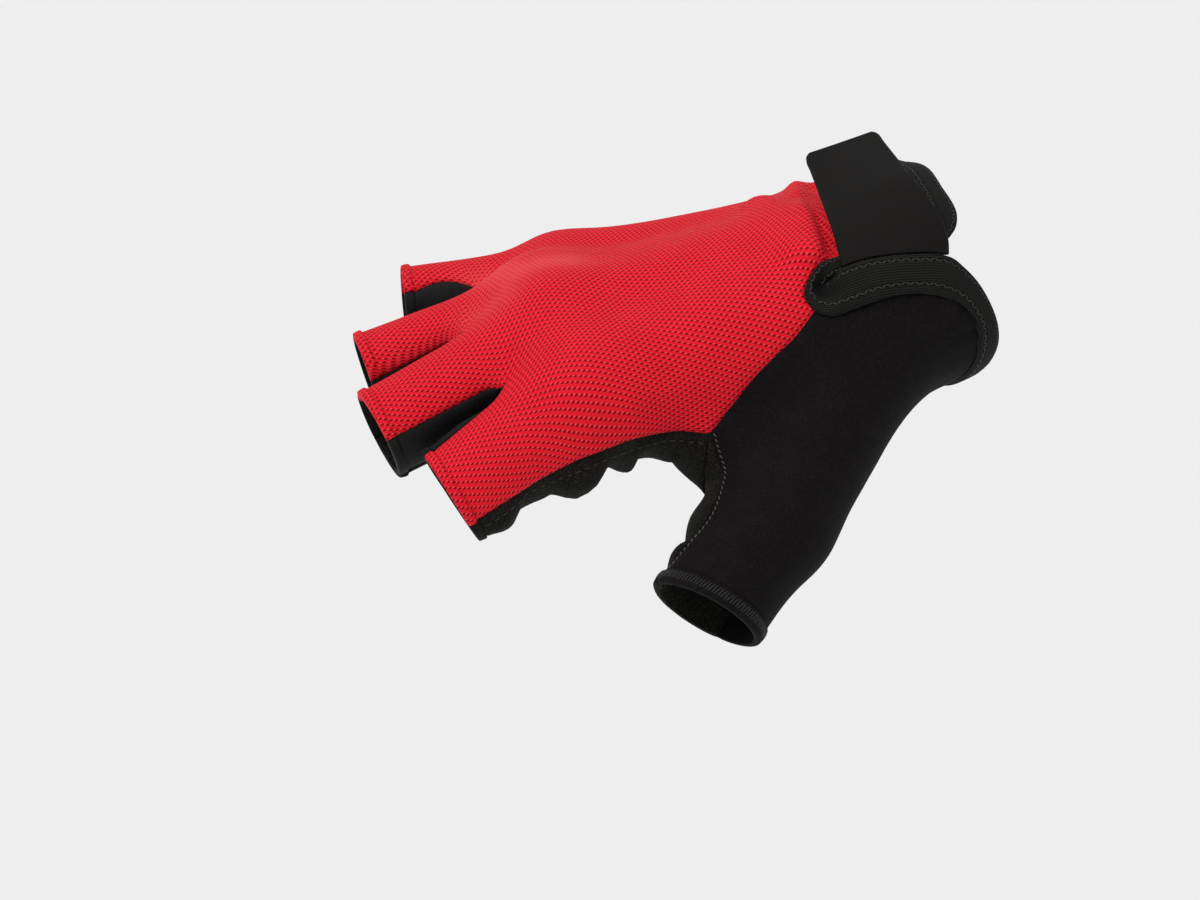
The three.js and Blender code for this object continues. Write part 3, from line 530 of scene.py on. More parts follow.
def hem_profile(count, rise, groove):
    """Height over the face along a strip: a groove at the stitches, then a round fold."""
    s = hem_shares
    swell = rise * np.sqrt(np.clip(1 - (2 * s - 0.93)**4, 0, 1)) * (s < 0.95)
    swell = swell - groove * bell(s - 0.93, 0.05)
    swell[-2:] = 0.1, -0.35
    return np.concatenate([np.zeros(count - len(s)), swell])


def new_piece(name, points, faces):
    """A smooth-shaded piece in the scene, from points in mm."""
    mesh = bpy.data.meshes.new(name)
    mesh.from_pydata((points.reshape(-1, 3) * MM).tolist(), [], faces)
    mesh.polygons.foreach_set("use_smooth", np.ones(len(faces), bool))
    piece = bpy.data.objects.new(name, mesh)
    bpy.context.scene.collection.objects.link(piece)
    return piece


def closed_sheet(name, outer, inner, quads, uv):
    """Two faces of a cloth and the strip round its rim, as one closed mesh."""
    n = len(outer)
    rim = border_sides(quads, n)
    strip = np.stack([rim[:, 1], rim[:, 0], rim[:, 0] + n, rim[:, 1] + n], -1)
    faces = np.concatenate([quads, quads[:, ::-1] + n, strip])
    piece = new_piece(name, np.concatenate([outer, inner]), faces.tolist())
    flat = np.concatenate([uv, uv])[faces.ravel()]
    piece.data.uv_layers.new(name="cloth").data.foreach_set("uv", flat.astype(np.float32).ravel())
    return piece


def facing(points, normals, quads):
    """Quads turned so that they face the way the normals point."""
    a, b, c, d = (points[quads[:, i]] for i in range(4))
    turn = np.cross(c - a, d - b)
    if (turn * normals[quads[:, 0]]).sum() < 0:
        return quads[:, ::-1]
    return quads


def seam_dip(points, quads, depth, reach=0.9):
    """How far cloth rolls down at a gap from its border: depth * bell(gap, reach)."""
    border = np.unique(border_sides(quads, len(points)))
    gap = np.concatenate([
        np.linalg.norm(block[:, None] - points[border][None, ::2], axis=-1).min(-1)
        for block in np.array_split(points, len(points) // 4000 + 1)])
    gap[border] = 0
    return depth * bell(gap, reach)


def noise(p, scale, seed):
    """Soft random height: a sum of sines of random directions and phases."""
    rng = np.random.default_rng(seed)
    total = np.zeros(p.shape[:-1])
    for octave in range(3):
        for _ in range(5):
            direction = unit(rng.normal(size=3)) * 2 * math.pi * 2**octave / scale
            total += np.sin(p @ direction + rng.uniform(0, 2 * math.pi)) / (5 * 1.8**octave)
    return total


def build_panel(name, groups, uv_groups, wall, hem_rise, relief):
    """The back or the palm as one sheet, with its hems, its relief and its dipped seams."""
    points, normals, numbers = joined(groups)
    uv = np.zeros((len(points), 2))
    rise = np.zeros(len(points))
    profile = hem_profile(groups[0][0].shape[0], hem_rise, 0.25)
    for number, uv_grid in zip(numbers, uv_groups):
        uv[number] = uv_grid
        rise[number] = profile[:, None]
    quads = facing(points, normals, cells(numbers))
    height = rise + relief(points) - seam_dip(points, quads, 0.3)
    depth = wall + np.clip(rise, 0, 0.4)
    return closed_sheet(name, points + normals * height[:, None], points - normals * depth[:, None],
                        quads, uv)


MESH_WALL = 1.2
strap_folds = [
    ((-0.15, 0.34, 0.16), (-0.182, 0.218, 0.267), (-0.226, 0.035, 0.377), (-0.272, -0.18, 0.39), 2.6, 1.7),
    ((-0.151, 0.242, 0.259), (-0.2, 0.045, 0.382), (-0.234, -0.166, 0.38), 2.0, -1.0),
]


def back_relief(p):
    """Low waves of the stretched knit, and the sharper fold that the strap pushes up."""
    return 0.12 * noise(p, 30, 3) + ridges(p, strap_folds)


back_panel = build_panel("back_mesh_knit", back_groups, knit_map(back_groups), MESH_WALL, 0.62,
                         back_relief)


def paint(piece, name, values):
    """Keeps a number at each point of a piece, for its material to read."""
    numbers = piece.data.attributes.new(name, "FLOAT", "POINT").data
    numbers.foreach_set("value", values.astype(np.float32))


# Where the knuckles stretch the knit its holes close, and a painted highlight turns it paler where light
# grazes the knuckles.
stretch_highlight_lines = [
    ((-0.73, 0.44, -0.08), (-0.7, 0.25, 0.15), (-0.62, 0.22, 0.2), 6.0, 0.8),
    ((-0.79, 0.21, 0.0), (-0.75, 0.14, 0.14), 5.0, 0.4),
]
knit_points = np.zeros(len(back_panel.data.vertices) * 3, np.float32)
back_panel.data.vertices.foreach_get("co", knit_points)
paint(back_panel, "stretch_and_highlight", ridges(knit_points.reshape(-1, 3).astype(float) / MM, stretch_highlight_lines))


def new_group(name, inputs, outputs):
    """An empty shader node group: an input is a number, or a vector where it has no value."""
    group = bpy.data.node_groups.new(name, "ShaderNodeTree")
    for socket, value in inputs.items():
        kind = "NodeSocketVector" if value is None else "NodeSocketFloat"
        item = group.interface.new_socket(name=socket, in_out="INPUT", socket_type=kind)
        if value is not None:
            item.default_value = value
    for socket in outputs:
        group.interface.new_socket(name=socket, in_out="OUTPUT", socket_type="NodeSocketFloat")
    return group, group.nodes.new("NodeGroupInput").outputs, group.nodes.new("NodeGroupOutput").inputs


class Wires:
    """Short ways to add nodes to one node tree and to join them."""

    def __init__(self, tree):
        self.tree = tree

    def feed(self, socket, value):
        if isinstance(value, bpy.types.NodeSocket):
            self.tree.links.new(value, socket)
        else:
            socket.default_value = value

    def node(self, kind, **inputs):
        node = self.tree.nodes.new(kind)
        for name, value in inputs.items():
            self.feed(node.inputs[name.replace("_", " ")], value)
        return node

    def math(self, operation, *values, clamp=False):
        node = self.tree.nodes.new("ShaderNodeMath")
        node.operation, node.use_clamp = operation, clamp
        for socket, value in zip(node.inputs, values):
            self.feed(socket, value)
        return node.outputs[0]

    def noise(self, vector, scale, detail, roughness=0.5):
        return self.node("ShaderNodeTexNoise", Vector=vector, Scale=scale, Detail=detail,
                         Roughness=roughness).outputs["Fac"]

    def ramp(self, value, low, high):
        node = self.node("ShaderNodeMapRange", Value=value, From_Min=low, From_Max=high)
        node.interpolation_type = "SMOOTHSTEP"
        return node.outputs[0]

    def colours(self, factor, low, high):
        node = self.tree.nodes.new("ShaderNodeMix")
        node.data_type = "RGBA"
        for number, value in ((0, factor), (6, low), (7, high)):
            self.feed(node.inputs[number], value)
        return node.outputs[2]

    def cloth_map(self):
        """The place in the flat cloth, and its two coordinates."""
        uv = self.tree.nodes.new("ShaderNodeUVMap")
        uv.uv_map = "cloth"
        parts = self.node("ShaderNodeSeparateXYZ", Vector=uv.outputs["UV"]).outputs
        return uv.outputs["UV"], parts["X"], parts["Y"]

    def painted(self, name):
        node = self.tree.nodes.new("ShaderNodeAttribute")
        node.attribute_name = name
        return node.outputs["Fac"]

    def grouped(self, group, **inputs):
        node = self.tree.nodes.new("ShaderNodeGroup")
        node.node_tree = group
        for name, value in inputs.items():
            self.feed(node.inputs[name], value)
        return node.outputs

    def bump(self, shader, height, strength, distance):
        node = self.node("ShaderNodeBump", Strength=strength, Distance=distance, Height=height)
        self.feed(shader.inputs["Normal"], node.outputs["Normal"])


def rgba(r, g, b):
    return (r, g, b, 1.0)


def cloth_material(name, roughness, sheen, sheen_tint, sheen_roughness=0.4, specular=0.3):
    """A material with a bare Principled shader and constant cloth values."""
    material = bpy.data.materials.new(name)
    material.use_nodes = True
    tree = material.node_tree
    shader = tree.nodes["Principled BSDF"]
    shader.inputs["Roughness"].default_value = roughness
    shader.inputs["Sheen Weight"].default_value = sheen
    shader.inputs["Sheen Tint"].default_value = sheen_tint
    shader.inputs["Sheen Roughness"].default_value = sheen_roughness
    shader.inputs["Specular IOR Level"].default_value = specular
    return material, Wires(tree), shader


def air_mesh_group():
    """Staggered holes where two diagonal waves meet, and a slanting yarn left of each."""
    group, given, out = new_group("air_mesh", {"Along": 0.0, "Across": 0.0, "Pitch": 1.3},
                                  ["Hole", "Stroke", "Height"])
    w = Wires(group)
    u = w.math("DIVIDE", given["Across"], given["Pitch"])
    v = w.math("DIVIDE", given["Along"], w.math("MULTIPLY", given["Pitch"], 1.75))

    def lattice(u, v):
        waves = [w.math("COSINE", w.math("MULTIPLY", w.math(way, u, v), 2 * math.pi))
                 for way in ("ADD", "SUBTRACT")]
        return w.math("MULTIPLY", w.math("ADD", *waves), 0.5)

    hole = w.ramp(lattice(u, v), 0.25, 0.85)
    stroke = w.ramp(lattice(w.math("SUBTRACT", u, 0.30), w.math("SUBTRACT", v, 0.16)), 0.5, 1.0)
    height = w.math("SUBTRACT", w.math("MULTIPLY", stroke, 0.7), w.math("MULTIPLY", hole, 1.3))
    for socket, value in (("Hole", hole), ("Stroke", stroke), ("Height", height)):
        w.feed(out[socket], value)
    return group


air_mesh = air_mesh_group()
MESH_PITCH = 1.24  # mm between neighbouring holes of a row


def mesh_knit_material():
    material, w, shader = cloth_material("mesh_knit", 0.7, 0.03, rgba(1.0, 0.4, 0.4), specular=0.1)
    uv, along, across = w.cloth_map()
    stretch_and_highlight = w.painted("stretch_and_highlight")
    loose = w.math("SUBTRACT", 1.0, w.math("MULTIPLY", stretch_and_highlight, 0.7, clamp=True))
    knit = w.grouped(air_mesh, Along=along, Across=across, Pitch=MESH_PITCH)
    base = w.colours(w.noise(uv, 0.12, 3.0), rgba(0.68, 0.006, 0.018), rgba(0.80, 0.011, 0.026))
    # Painted highlight: the knit turns paler over the stretched knuckles, where light grazes them.
    base = w.colours(w.math("MULTIPLY", stretch_and_highlight, 0.5), base, rgba(0.88, 0.12, 0.125))
    # Painted highlight on the slanting yarn strokes beside each hole.
    lit = w.colours(knit["Stroke"], base, rgba(0.93, 0.075, 0.085))
    hole = w.math("MULTIPLY", knit["Hole"], loose)
    w.feed(shader.inputs["Base Color"], w.colours(hole, lit, rgba(0.2, 0.0005, 0.005)))
    w.bump(shader, knit["Height"], 0.6, 0.00035)
    return material


def stitches(name, path, normals, pitch, length, thick, slants, lift, material):
    """Arched threads sewn along a line on the cloth, turned by the slants in order.

    Each thread is a ring of six points swept over seven stations; its radius is
    thick * sqrt(1 - (2t)^6) and it arches by 1 - (2t)^2 between its ends.
    """
    run = walked(path)
    where = np.arange(pitch / 2, run[-1], pitch)
    centre, up, tangent = (np.stack([np.interp(where, run, v[:, i]) for i in range(3)], -1)
                           for v in (path, normals, np.gradient(path, axis=0)))
    up, tangent = unit(up), unit(tangent)
    slant = np.radians(np.resize(slants, len(where)))[:, None]
    ahead = tangent * np.cos(slant) + np.cross(up, tangent) * np.sin(slant)
    beside = np.cross(up, ahead)
    t = np.linspace(-0.5, 0.5, 7)
    ring = np.maximum(np.sqrt(1 - (2 * t)**6), 0.3) * thick
    turn = np.arange(6) * math.pi / 3
    arch = lift + thick * 0.9 * (1 - (2 * t)**2) - thick * 0.5
    points = (centre[:, None, None] + ahead[:, None, None] * (t * length)[None, :, None, None]
              + up[:, None, None] * (arch[:, None] + ring[:, None] * np.sin(turn))[None, ..., None]
              + beside[:, None, None] * (ring[:, None] * np.cos(turn))[None, ..., None])
    quads = [(i + j, i + (j + 1) % 6, i + 6 + (j + 1) % 6, i + 6 + j)
             for i in range(0, 36, 6) for j in range(6)]
    caps = [(5, 4, 3, 2, 1, 0), (36, 37, 38, 39, 40, 41)]
    faces = [tuple(42 * n + i for i in face) for n in range(len(where)) for face in quads + caps]
    thread = new_piece(name, points, faces)
    thread.data.materials.append(material)
    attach(thread, "root")
    return thread


def thread_material(name, colour):
    material, _, shader = cloth_material(name, 0.55, 0.05, rgba(0.8, 0.8, 0.8))
    shader.inputs["Base Color"].default_value = colour
    return material


hem_thread = thread_material("hem_thread", rgba(0.42, 0.006, 0.014))
for g, (rows, normal) in enumerate(back_groups):
    stitches("hem_stitches_" + finger_names[g], rows[-len(hem_shares)], normal[-len(hem_shares)],
             1.5, 0.95, 0.16, [0], -0.12, hem_thread)
back_panel.data.materials.append(mesh_knit_material())
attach(back_panel, "root")
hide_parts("back_panel")


# -------- palm panel
# Thin synthetic suede from the wrist to four strips under the fingers. It wraps
# up the index finger's side, where the cloth puckers into soft lumps.
web_points = settle(place([
    (-0.508, -0.367, -0.2), (-0.51, -0.36, -0.33), (-0.49, -0.335, -0.46), (-0.44, -0.325, -0.58),
    (-0.385, -0.345, -0.66), (-0.335, -0.375, -0.7),
]))
web_seam = seam_line(web_points)
thenar_seam = seam_line(np.concatenate([
    [cloth_edge(float(PALM_THUMB_SIDE))],
    settle(place([(-0.11, -0.265, -0.42), (-0.19, -0.29, -0.53), (-0.265, -0.33, -0.62)])),
    web_points[-1:],
]))
THENAR = LOWER_LEG + DIAGONAL
palm_border = border_line(body_rows, [
    (THENAR, thenar_seam, 0, 4), (WEB, web_seam, 5, 0), (SIDE, side_seam, 0, 4),
])
palm_groups = panel_groups(palm_border, palm_tips, PALM_THUMB_SIDE, -1, PALM_FROM, PALM_TO)
gather_ends = np.array([-0.9, -0.82, -0.765, -0.675, -0.622, -0.56, -0.47])  # x shares
gather_base = np.array([0, -1.4, -0.9, -3.1, -1.8, -1.9, -2.6])  # mm, in the creases
gather_rise = np.array([0.7, 0.6, 4.3, 2.3, 1.6, 1.9])  # mm, between them


def palm_relief(p):
    """Gathers below the index finger and over the web, and low waves.

    Between two creases u runs from 0 to 1 and a gather rises as u^0.6 (1 - u^7),
    so it falls most steeply into the crease on the wrist's side.
    """
    x, y, z = p[..., 0] / LENGTH, p[..., 1] / BREADTH, p[..., 2] / DEPTH
    i = np.clip(np.searchsorted(gather_ends, x) - 1, 0, len(gather_rise) - 1)
    u = np.clip((x - gather_ends[i]) / (gather_ends[i + 1] - gather_ends[i]), 0, 1)
    height = np.interp(x, gather_ends, gather_base) + gather_rise[i] * u**0.6 * (1 - u**7) / 0.73
    side = smooth(-z, 0.2, 0.36) * (1 - smooth(-z, 0.6, 0.75)) * (1 - smooth(y, -0.14, 0.06))
    return height * side + 0.22 * noise(p, 22, 8) + 0.07 * noise(p, 5, 9)


palm_uv = [np.stack([-rows[..., 0], rows[..., 1]], -1) for rows, _ in palm_groups]
SUEDE_WALL = 1.5
palm_panel = build_panel("palm_suede", palm_groups, palm_uv, SUEDE_WALL, 0.45, palm_relief)


def suede_group():
    """Nap of suede: fine fibres over a broad mottling."""
    group, given, out = new_group("suede_nap", {"Vector": None, "Size": 1.0}, ["Shade", "Height"])
    w = Wires(group)
    scaled = w.node("ShaderNodeVectorMath", Vector=given["Vector"])
    scaled.operation = "SCALE"
    w.feed(scaled.inputs["Scale"], w.math("DIVIDE", 1000.0, given["Size"]))
    fibre = w.noise(scaled.outputs[0], 2.6, 4.0, 0.7)
    broad = w.noise(scaled.outputs[0], 0.16, 2.0)
    shade = w.math("ADD", w.math("MULTIPLY", fibre, 0.85), w.math("MULTIPLY", broad, 0.15))
    w.feed(out["Shade"], w.ramp(shade, 0.42, 0.74))
    w.feed(out["Height"], fibre)
    return group


suede_nap = suede_group()


def nap_material(name, dark, light, size, depth, roughness=0.9, sheen=0.02, specular=0.12):
    """Dark cloth whose shade and bump are a nap of a given size in mm and depth in m."""
    material, w, shader = cloth_material(name, roughness, sheen, rgba(0.5, 0.5, 0.5), specular=specular)
    where = w.tree.nodes.new("ShaderNodeTexCoord").outputs["Object"]
    nap = w.grouped(suede_nap, Vector=where, Size=size)
    w.feed(shader.inputs["Base Color"], w.colours(nap["Shade"], dark, light))
    w.bump(shader, nap["Height"], 0.5, depth)
    return material


suede = nap_material("suede", rgba(0.0035, 0.0032, 0.0028), rgba(0.034, 0.032, 0.027), 1.0, 0.0004)
sewn_rows = slice(len(body_rows) - 22, -len(hem_shares))
side_line, side_up = (grid[sewn_rows, 2] for grid in palm_groups[0])
side_line = side_line + side_up * palm_relief(side_line)[:, None]
palm_thread = thread_material("palm_thread", rgba(0.026, 0.026, 0.023))
stitches("palm_edge_stitches", side_line, side_up, 2.1, 1.3, 0.13, [0], 0.0, palm_thread)
palm_panel.data.materials.append(suede)
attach(palm_panel, "root")
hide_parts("palm_panel")


# -------- thumb panel
# Smooth black stretch fabric from the wrist and the slit to the thumb's hem,
# which is overlocked: a thick, finely ribbed roll.
thumb_axis = unit(at["thumbHem"] - at["thumbRoot"])
thumb_out = unit(np.array([0, -1.0, 0]) + thumb_axis * thumb_axis[1])
thumb_up = np.cross(thumb_axis, thumb_out)
THUMB_LEAN, THUMB_TOP, THUMB_UNDER = 0.17, 122, -112
THUMB_HEM = 3.0
THUMB_HEM_START = 1.35 * THUMB_HEM
thumb_spine = spine(["thumbRoot", "thumbKnuckle", "thumbHem"], thumb_axis, 0, 0)


def on_thumb(degrees, back):
    """Points round the thumb's end, whose hem leans out on the inner side."""
    a = np.radians(np.asarray(degrees, float))[..., None]
    back = np.asarray(back, float)[..., None]
    r = radius["thumbHem"]
    p = at["thumbHem"] + thumb_out * (r * np.cos(a)) + thumb_up * (r * np.sin(a))
    return settle(p - thumb_axis * (back + THUMB_LEAN * r * np.cos(a)))


crotch_curve = through(settle(place([
    (-0.508, -0.367, -0.2), (-0.502, -0.4, -0.3), (-0.503, -0.44, -0.33), (-0.528, -0.497, -0.386),
    (-0.559, -0.519, -0.464), (-0.596, -0.54, -0.538),
])))
under_curve = through(np.stack([
    web_points[-1], on_thumb(THUMB_UNDER, 0.09 * LENGTH), on_thumb(THUMB_UNDER, 0.0),
]))
thumb_shares = np.linspace(0, 4, 41)


def thumb_seam(curve, step, degrees):
    """A seam along the thumb: on a curve first, then to an angle at the hem and over it."""
    tail = on_thumb(degrees, THUMB_HEM_START)
    pull = ((thumb_shares / 5) ** 3)[:, None]
    rows = settle(mix(curve(thumb_shares * step), tail, pull))
    link = settle(mix(rows[-1], tail, np.linspace(0, 1, 9)[1:, None]))
    hem = on_thumb(np.full(len(hem_shares), float(degrees)), hem_shares * THUMB_HEM_START)
    return np.concatenate([rows, link, hem])


thumb_top = thumb_seam(crotch_curve, 1.0, THUMB_TOP)
thumb_bottom = thumb_seam(under_curve, 0.32, THUMB_UNDER)
thumb_rows = np.linspace(0, THENAR, 61)
thumb_columns = np.linspace(0, 1, 49)
upper = np.concatenate([border_line(thumb_rows, [
    (LOWER_LEG, cloth_edge, THUMB_CORNER, SLIT_END_LOW), (DIAGONAL, diagonal_seam, 0, 5),
]), thumb_top[1:]])
lower = np.concatenate([thenar_seam(4 * thumb_rows / THENAR), thumb_bottom[1:]])
cuff_line = cloth_edge(mix(PALM_THUMB_SIDE, THUMB_CORNER, thumb_columns))
thumb_points = settle_inside(begin_on(cuff_line, sweep(thumb_spine, lower, upper, thumb_columns), 6))


def grid_sheet(name, points, normals, height, depth, uv=None, ring=False):
    """A closed sheet from one grid: its face height over the points, its back depth under."""
    rows, columns = points.shape[:2]
    number = np.arange(rows * columns).reshape(rows, columns)
    if ring:
        number = np.concatenate([number, number[:1]])
    flat, up = points.reshape(-1, 3), normals.reshape(-1, 3)
    over, under = (np.broadcast_to(v, (rows, columns)).reshape(-1, 1) for v in (height, depth))
    uv = np.stack(np.broadcast_arrays(*(uv or (walked(points), walked(points, 1)))), -1)
    return closed_sheet(name, flat + up * over, flat - up * under, facing(flat, up, cells([number])),
                        uv.reshape(-1, 2))


def border_dip(points, depth, reach):
    """Roll of a grid's side borders into their seams: -depth * bell(gap, reach)."""
    across = walked(points, 1)
    gap = np.minimum(across, across[:, -1:] - across)
    return -depth * bell(gap, reach)


thumb_height = border_dip(thumb_points, 0.3, 0.9)
thumb_height += 0.15 * noise(thumb_points, 26, 5)
thumb_height += hem_profile(len(thumb_points), 0.6, 0.3)[:, None]
# Small tucks beside the binding: station along it, and length in mm.
for station, length in ((2.7, 4.0), (3.4, 2.5), (4.3, 4.5), (5.2, 3.0), (6.1, 5.0), (7.2, 6.0), (8.3, 5.0)):
    edge = cloth_edge(station)
    far = edge + unit(edge - free_edge(station)) * length
    thumb_height += ridges(thumb_points, [(edge / place(1), far / place(1), 0.9, -0.4)])
STRETCH_WALL = 1.0
thumb_panel = grid_sheet("thumb_stretch", thumb_points, outward(thumb_points), thumb_height,
                         STRETCH_WALL)
stretch = nap_material("stretch_knit", rgba(0.0035, 0.0026, 0.003), rgba(0.0135, 0.0112, 0.0124),
                       0.8, 0.0002)
thumb_panel.data.materials.append(stretch)
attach(thumb_panel, "root")
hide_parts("thumb_panel")


# -------- thumb inner
# Suede on the thumb's inner side, from the web to the thumb's hem, sewn to the
# stretch fabric along the crotch seam.
inner_columns = np.linspace(0, 1, 25)
inner_points = sweep(thumb_spine, thumb_top, thumb_bottom, inner_columns)
inner_points = settle_inside(begin_on(web_seam(5 * inner_columns), inner_points, 10))
inner_puckers = [
    ((-0.515, -0.375, -0.42), (-0.525, -0.37, -0.53), (-0.51, -0.36, -0.64), 3.4, -1.6),
    ((-0.545, -0.5, -0.45), (-0.55, -0.41, -0.62), 4.0, 1.1),
    ((-0.576, -0.53, -0.5), (-0.59, -0.44, -0.66), 1.5, -1.4),
    ((-0.6, -0.54, -0.53), (-0.61, -0.47, -0.68), 3.0, 0.8),
    ((-0.622, -0.56, -0.57), (-0.632, -0.49, -0.7), 1.4, -0.8),
]
inner_height = border_dip(inner_points, 0.3, 0.9) + 0.2 * noise(inner_points, 18, 6)
inner_height += ridges(inner_points, inner_puckers)
inner_height += hem_profile(len(inner_points), 0.6, 0.3)[:, None]
thumb_inner = grid_sheet("thumb_suede", inner_points, outward(inner_points), inner_height, SUEDE_WALL)
crotch_line = thumb_points[len(thumb_rows) - 1:-len(hem_shares), -2]
stitches("crotch_stitches", crotch_line, outward(crotch_line), 1.25, 1.0, 0.15, [24], -0.02,
         thread_material("crotch_thread", rgba(0.075, 0.078, 0.064)))
overlock = thread_material("overlock_thread", rgba(0.0085, 0.0075, 0.008))
for part_name, grid in (("outer", thumb_points), ("inner", inner_points)):
    hem_line = grid[-6]
    stitches("overlock_" + part_name, hem_line, outward(hem_line), 0.72, 2.6, 0.25, [76, 68], 0.42,
             overlock)
thumb_inner.data.materials.append(suede)
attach(thumb_inner, "root")
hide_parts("thumb_inner")


# -------- fourchettes
# Narrow side walls of stretch knit between neighbouring fingers, each one strip
# that runs down one finger, round the web and up the next.
WEB_SINK = 4.0  # mm that the web lies back of its two tips
side_columns = np.linspace(0, 1, 17)


def fourchette_points(g):
    """Rows from one hem round the web to the other, each from back to palm."""
    halves = []
    for k, back_degrees, palm_degrees, side in (
        (g, BACK_TO[g], PALM_TO[g], 1), (g + 1, BACK_FROM[g + 1], PALM_FROM[g + 1], -1),
    ):
        back, weight = strip_seam(k, back_tips[g], back_degrees)
        palm, _ = strip_seam(k, palm_tips[g], palm_degrees)
        back = np.concatenate([back_tips[g:g + 1], back])
        palm = np.concatenate([palm_tips[g:g + 1], palm])
        weight = np.concatenate([[0.0], weight])[:, None]
        swept = sweep(digit_spines[k], back, palm, side_columns, side)
        straight = mix(back[:, None], palm[:, None], side_columns[None, :, None])
        inside = 4 * side_columns * (1 - side_columns)
        straight[..., 0] += WEB_SINK * inside
        skin = mixed(weight, mixed(inside[None], whole_skin, between(g)), stalls[k])
        rows = settle_inside(mix(straight, swept, weight[..., None]), skin)
        halves.append((rows, outward(rows, skin)))
    return [np.concatenate([first[::-1], second[1:]]) for first, second in zip(*halves)]


side_knit = nap_material("side_knit", rgba(0.003, 0.003, 0.003), rgba(0.013, 0.012, 0.012),
                         0.7, 0.0002, 0.7, 0.03, 0.2)
for g, name in enumerate(["index_middle", "middle_ring", "ring_little"]):
    points, normals = fourchette_points(g)
    profile = hem_profile(len(points) // 2 + 1, 0.45, 0.2)
    height = np.concatenate([profile[::-1], profile[1:]])[:, None] + border_dip(points, 0.3, 0.8)
    along = walked(points[:, 8])[:, None]
    from_web = np.abs(along - along[len(points) // 2])
    if g == 0:
        own_side = (np.arange(len(points)) < len(points) // 2)[:, None]
        height = height + 1.3 * own_side * smooth(from_web, 5, 14) * bell(side_columns, 0.12)
    for crease, depth in ((2.4, 0.8), (4.9, 0.9), (8.2, 0.5)):  # mm from the web, and deep
        height = height - depth * bell(from_web - crease, 0.7) * np.sin(math.pi * side_columns)
    wall = grid_sheet("side_wall_" + name, points, normals, height, STRETCH_WALL,
                      (along, side_columns * 12))
    wall.data.materials.append(side_knit)
    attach(wall, "root")
    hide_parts("fourchette_" + name)


# -------- cuff binding
# Elastic tape folded over the wrist's edge and both sides of the slit, ribbed
# along its length and stitched down near both edges.
TAPE_WALL, TAPE_RISE = 1.7, 0.9  # below and above the cloth's face
STRAP_LIFT, STRAP_WALL = 1.35, 2.0
SLIT_END = 2.0  # stations that the closed end of the slit takes
FREE_STITCH, CLOTH_STITCH = 0.14, 0.72  # shares of the way from the free edge
stations = np.linspace(SLIT_END_LOW, LOOP + SLIT_END_LOW, 361)[:-1]
tape_columns = np.concatenate([[0, 0.015, 0.04, 0.08], np.linspace(0.13, 0.87, 13),
                               [0.92, 0.96, 0.985, 1]])
tape_points = mix(free_edge(stations)[:, None], cloth_edge(stations)[:, None],
                  tape_columns[None, :, None])
tape_points = settle_inside(tape_points)


def from_slit_end(t):
    """Stations between a place on the binding and the closed end of the slit."""
    return np.minimum(np.abs(t - LOOP), t)


def tape_height(t, s):
    """Rounded edges, a groove at each stitch line, and a build-up over the strap."""
    body = TAPE_RISE * (1 - (2 * s - 1)**8 * 0.9)
    grooves = 0.45 * (bell(s - FREE_STITCH, 0.04) + bell(s - CLOTH_STITCH, 0.045))
    body = body - 1.6 * bell(from_slit_end(t), SLIT_END) * (1 - smooth(s, 0.55, 0.7))
    in_strap = smooth(t, 1.6, 2.8) * (1 - smooth(t, 5.4, 6.6))
    over = (STRAP_LIFT + STRAP_WALL) * in_strap * np.clip(1 - s, 0, 1)**0.8
    return body - grooves + over


tape_rise = tape_height(stations[:, None], tape_columns[None])
tape_normals = outward(tape_points)
tape_map = walked(tape_points[:, 10])[:, None], walked(tape_points, 1)
binding = grid_sheet("cuff_tape", tape_points, tape_normals, tape_rise, TAPE_WALL, tape_map, ring=True)


def tape_material():
    """Ribs along the tape and finer picks across it, painted lighter on their tops and darker in their
    grooves, and painted shade at the slit's deep end.
    """
    material, w, shader = cloth_material("ribbed_tape", 0.8, 0.012, rgba(0.6, 0.62, 0.6), specular=0.12)
    uv, along, across = w.cloth_map()
    ribs = w.math("SINE", w.math("MULTIPLY", across, 2 * math.pi / 0.5))
    picks = w.math("SINE", w.math("MULTIPLY", along, 2 * math.pi / 0.45))
    height = w.math("ADD", ribs, w.math("MULTIPLY", picks, 0.35))
    height = w.math("ADD", height, w.math("MULTIPLY", w.noise(uv, 2.2, 3.0), 0.8))
    # Painted shade at the slit's deep end, under the strap, darkens the tape there.
    open_to_light = w.math("SUBTRACT", 1.0, w.painted("pocket_shade"))
    # Painted light: the colour is lighter where the ribs and picks stand high and darker in their grooves.
    shade = w.math("MULTIPLY", w.ramp(height, -1.0, 1.8), open_to_light)
    w.feed(shader.inputs["Base Color"],
           w.colours(shade, rgba(0.0027, 0.0025, 0.0023), rgba(0.0198, 0.019, 0.0178)))
    w.bump(shader, height, 0.6, 0.00015)
    return material


tape_thread = thread_material("tape_thread", rgba(0.029, 0.028, 0.026))
for row_name, share in (("free", FREE_STITCH), ("cloth", CLOTH_STITCH)):
    column = np.interp(share, tape_columns, np.arange(len(tape_columns)))
    low = int(column)
    line, up, rise = (mix(grid[:, low], grid[:, low + 1], column - low)
                      for grid in (tape_points, tape_normals, tape_rise))
    stitches("tape_stitches_" + row_name, line + up * rise[:, None], up, 1.05, 1.25, 0.18, [34, -34], 0.06,
             tape_thread)
# Painted shade: how much the tape is darkened near the slit's closed end, where the strap shades it.
pocket_shade = bell(from_slit_end(stations), 2.2)[:, None] * (1 - smooth(tape_columns, 0.45, 0.65))
paint(binding, "pocket_shade", np.concatenate([pocket_shade.ravel()] * 2))
binding.data.materials.append(tape_material())
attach(binding, "root")
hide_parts("cuff_binding")


# -------- wrist strap
# Stiff laminated cloth about 2 mm thick. One end is sewn under the binding of
# the slit; the other stands free over the back of the wrist.

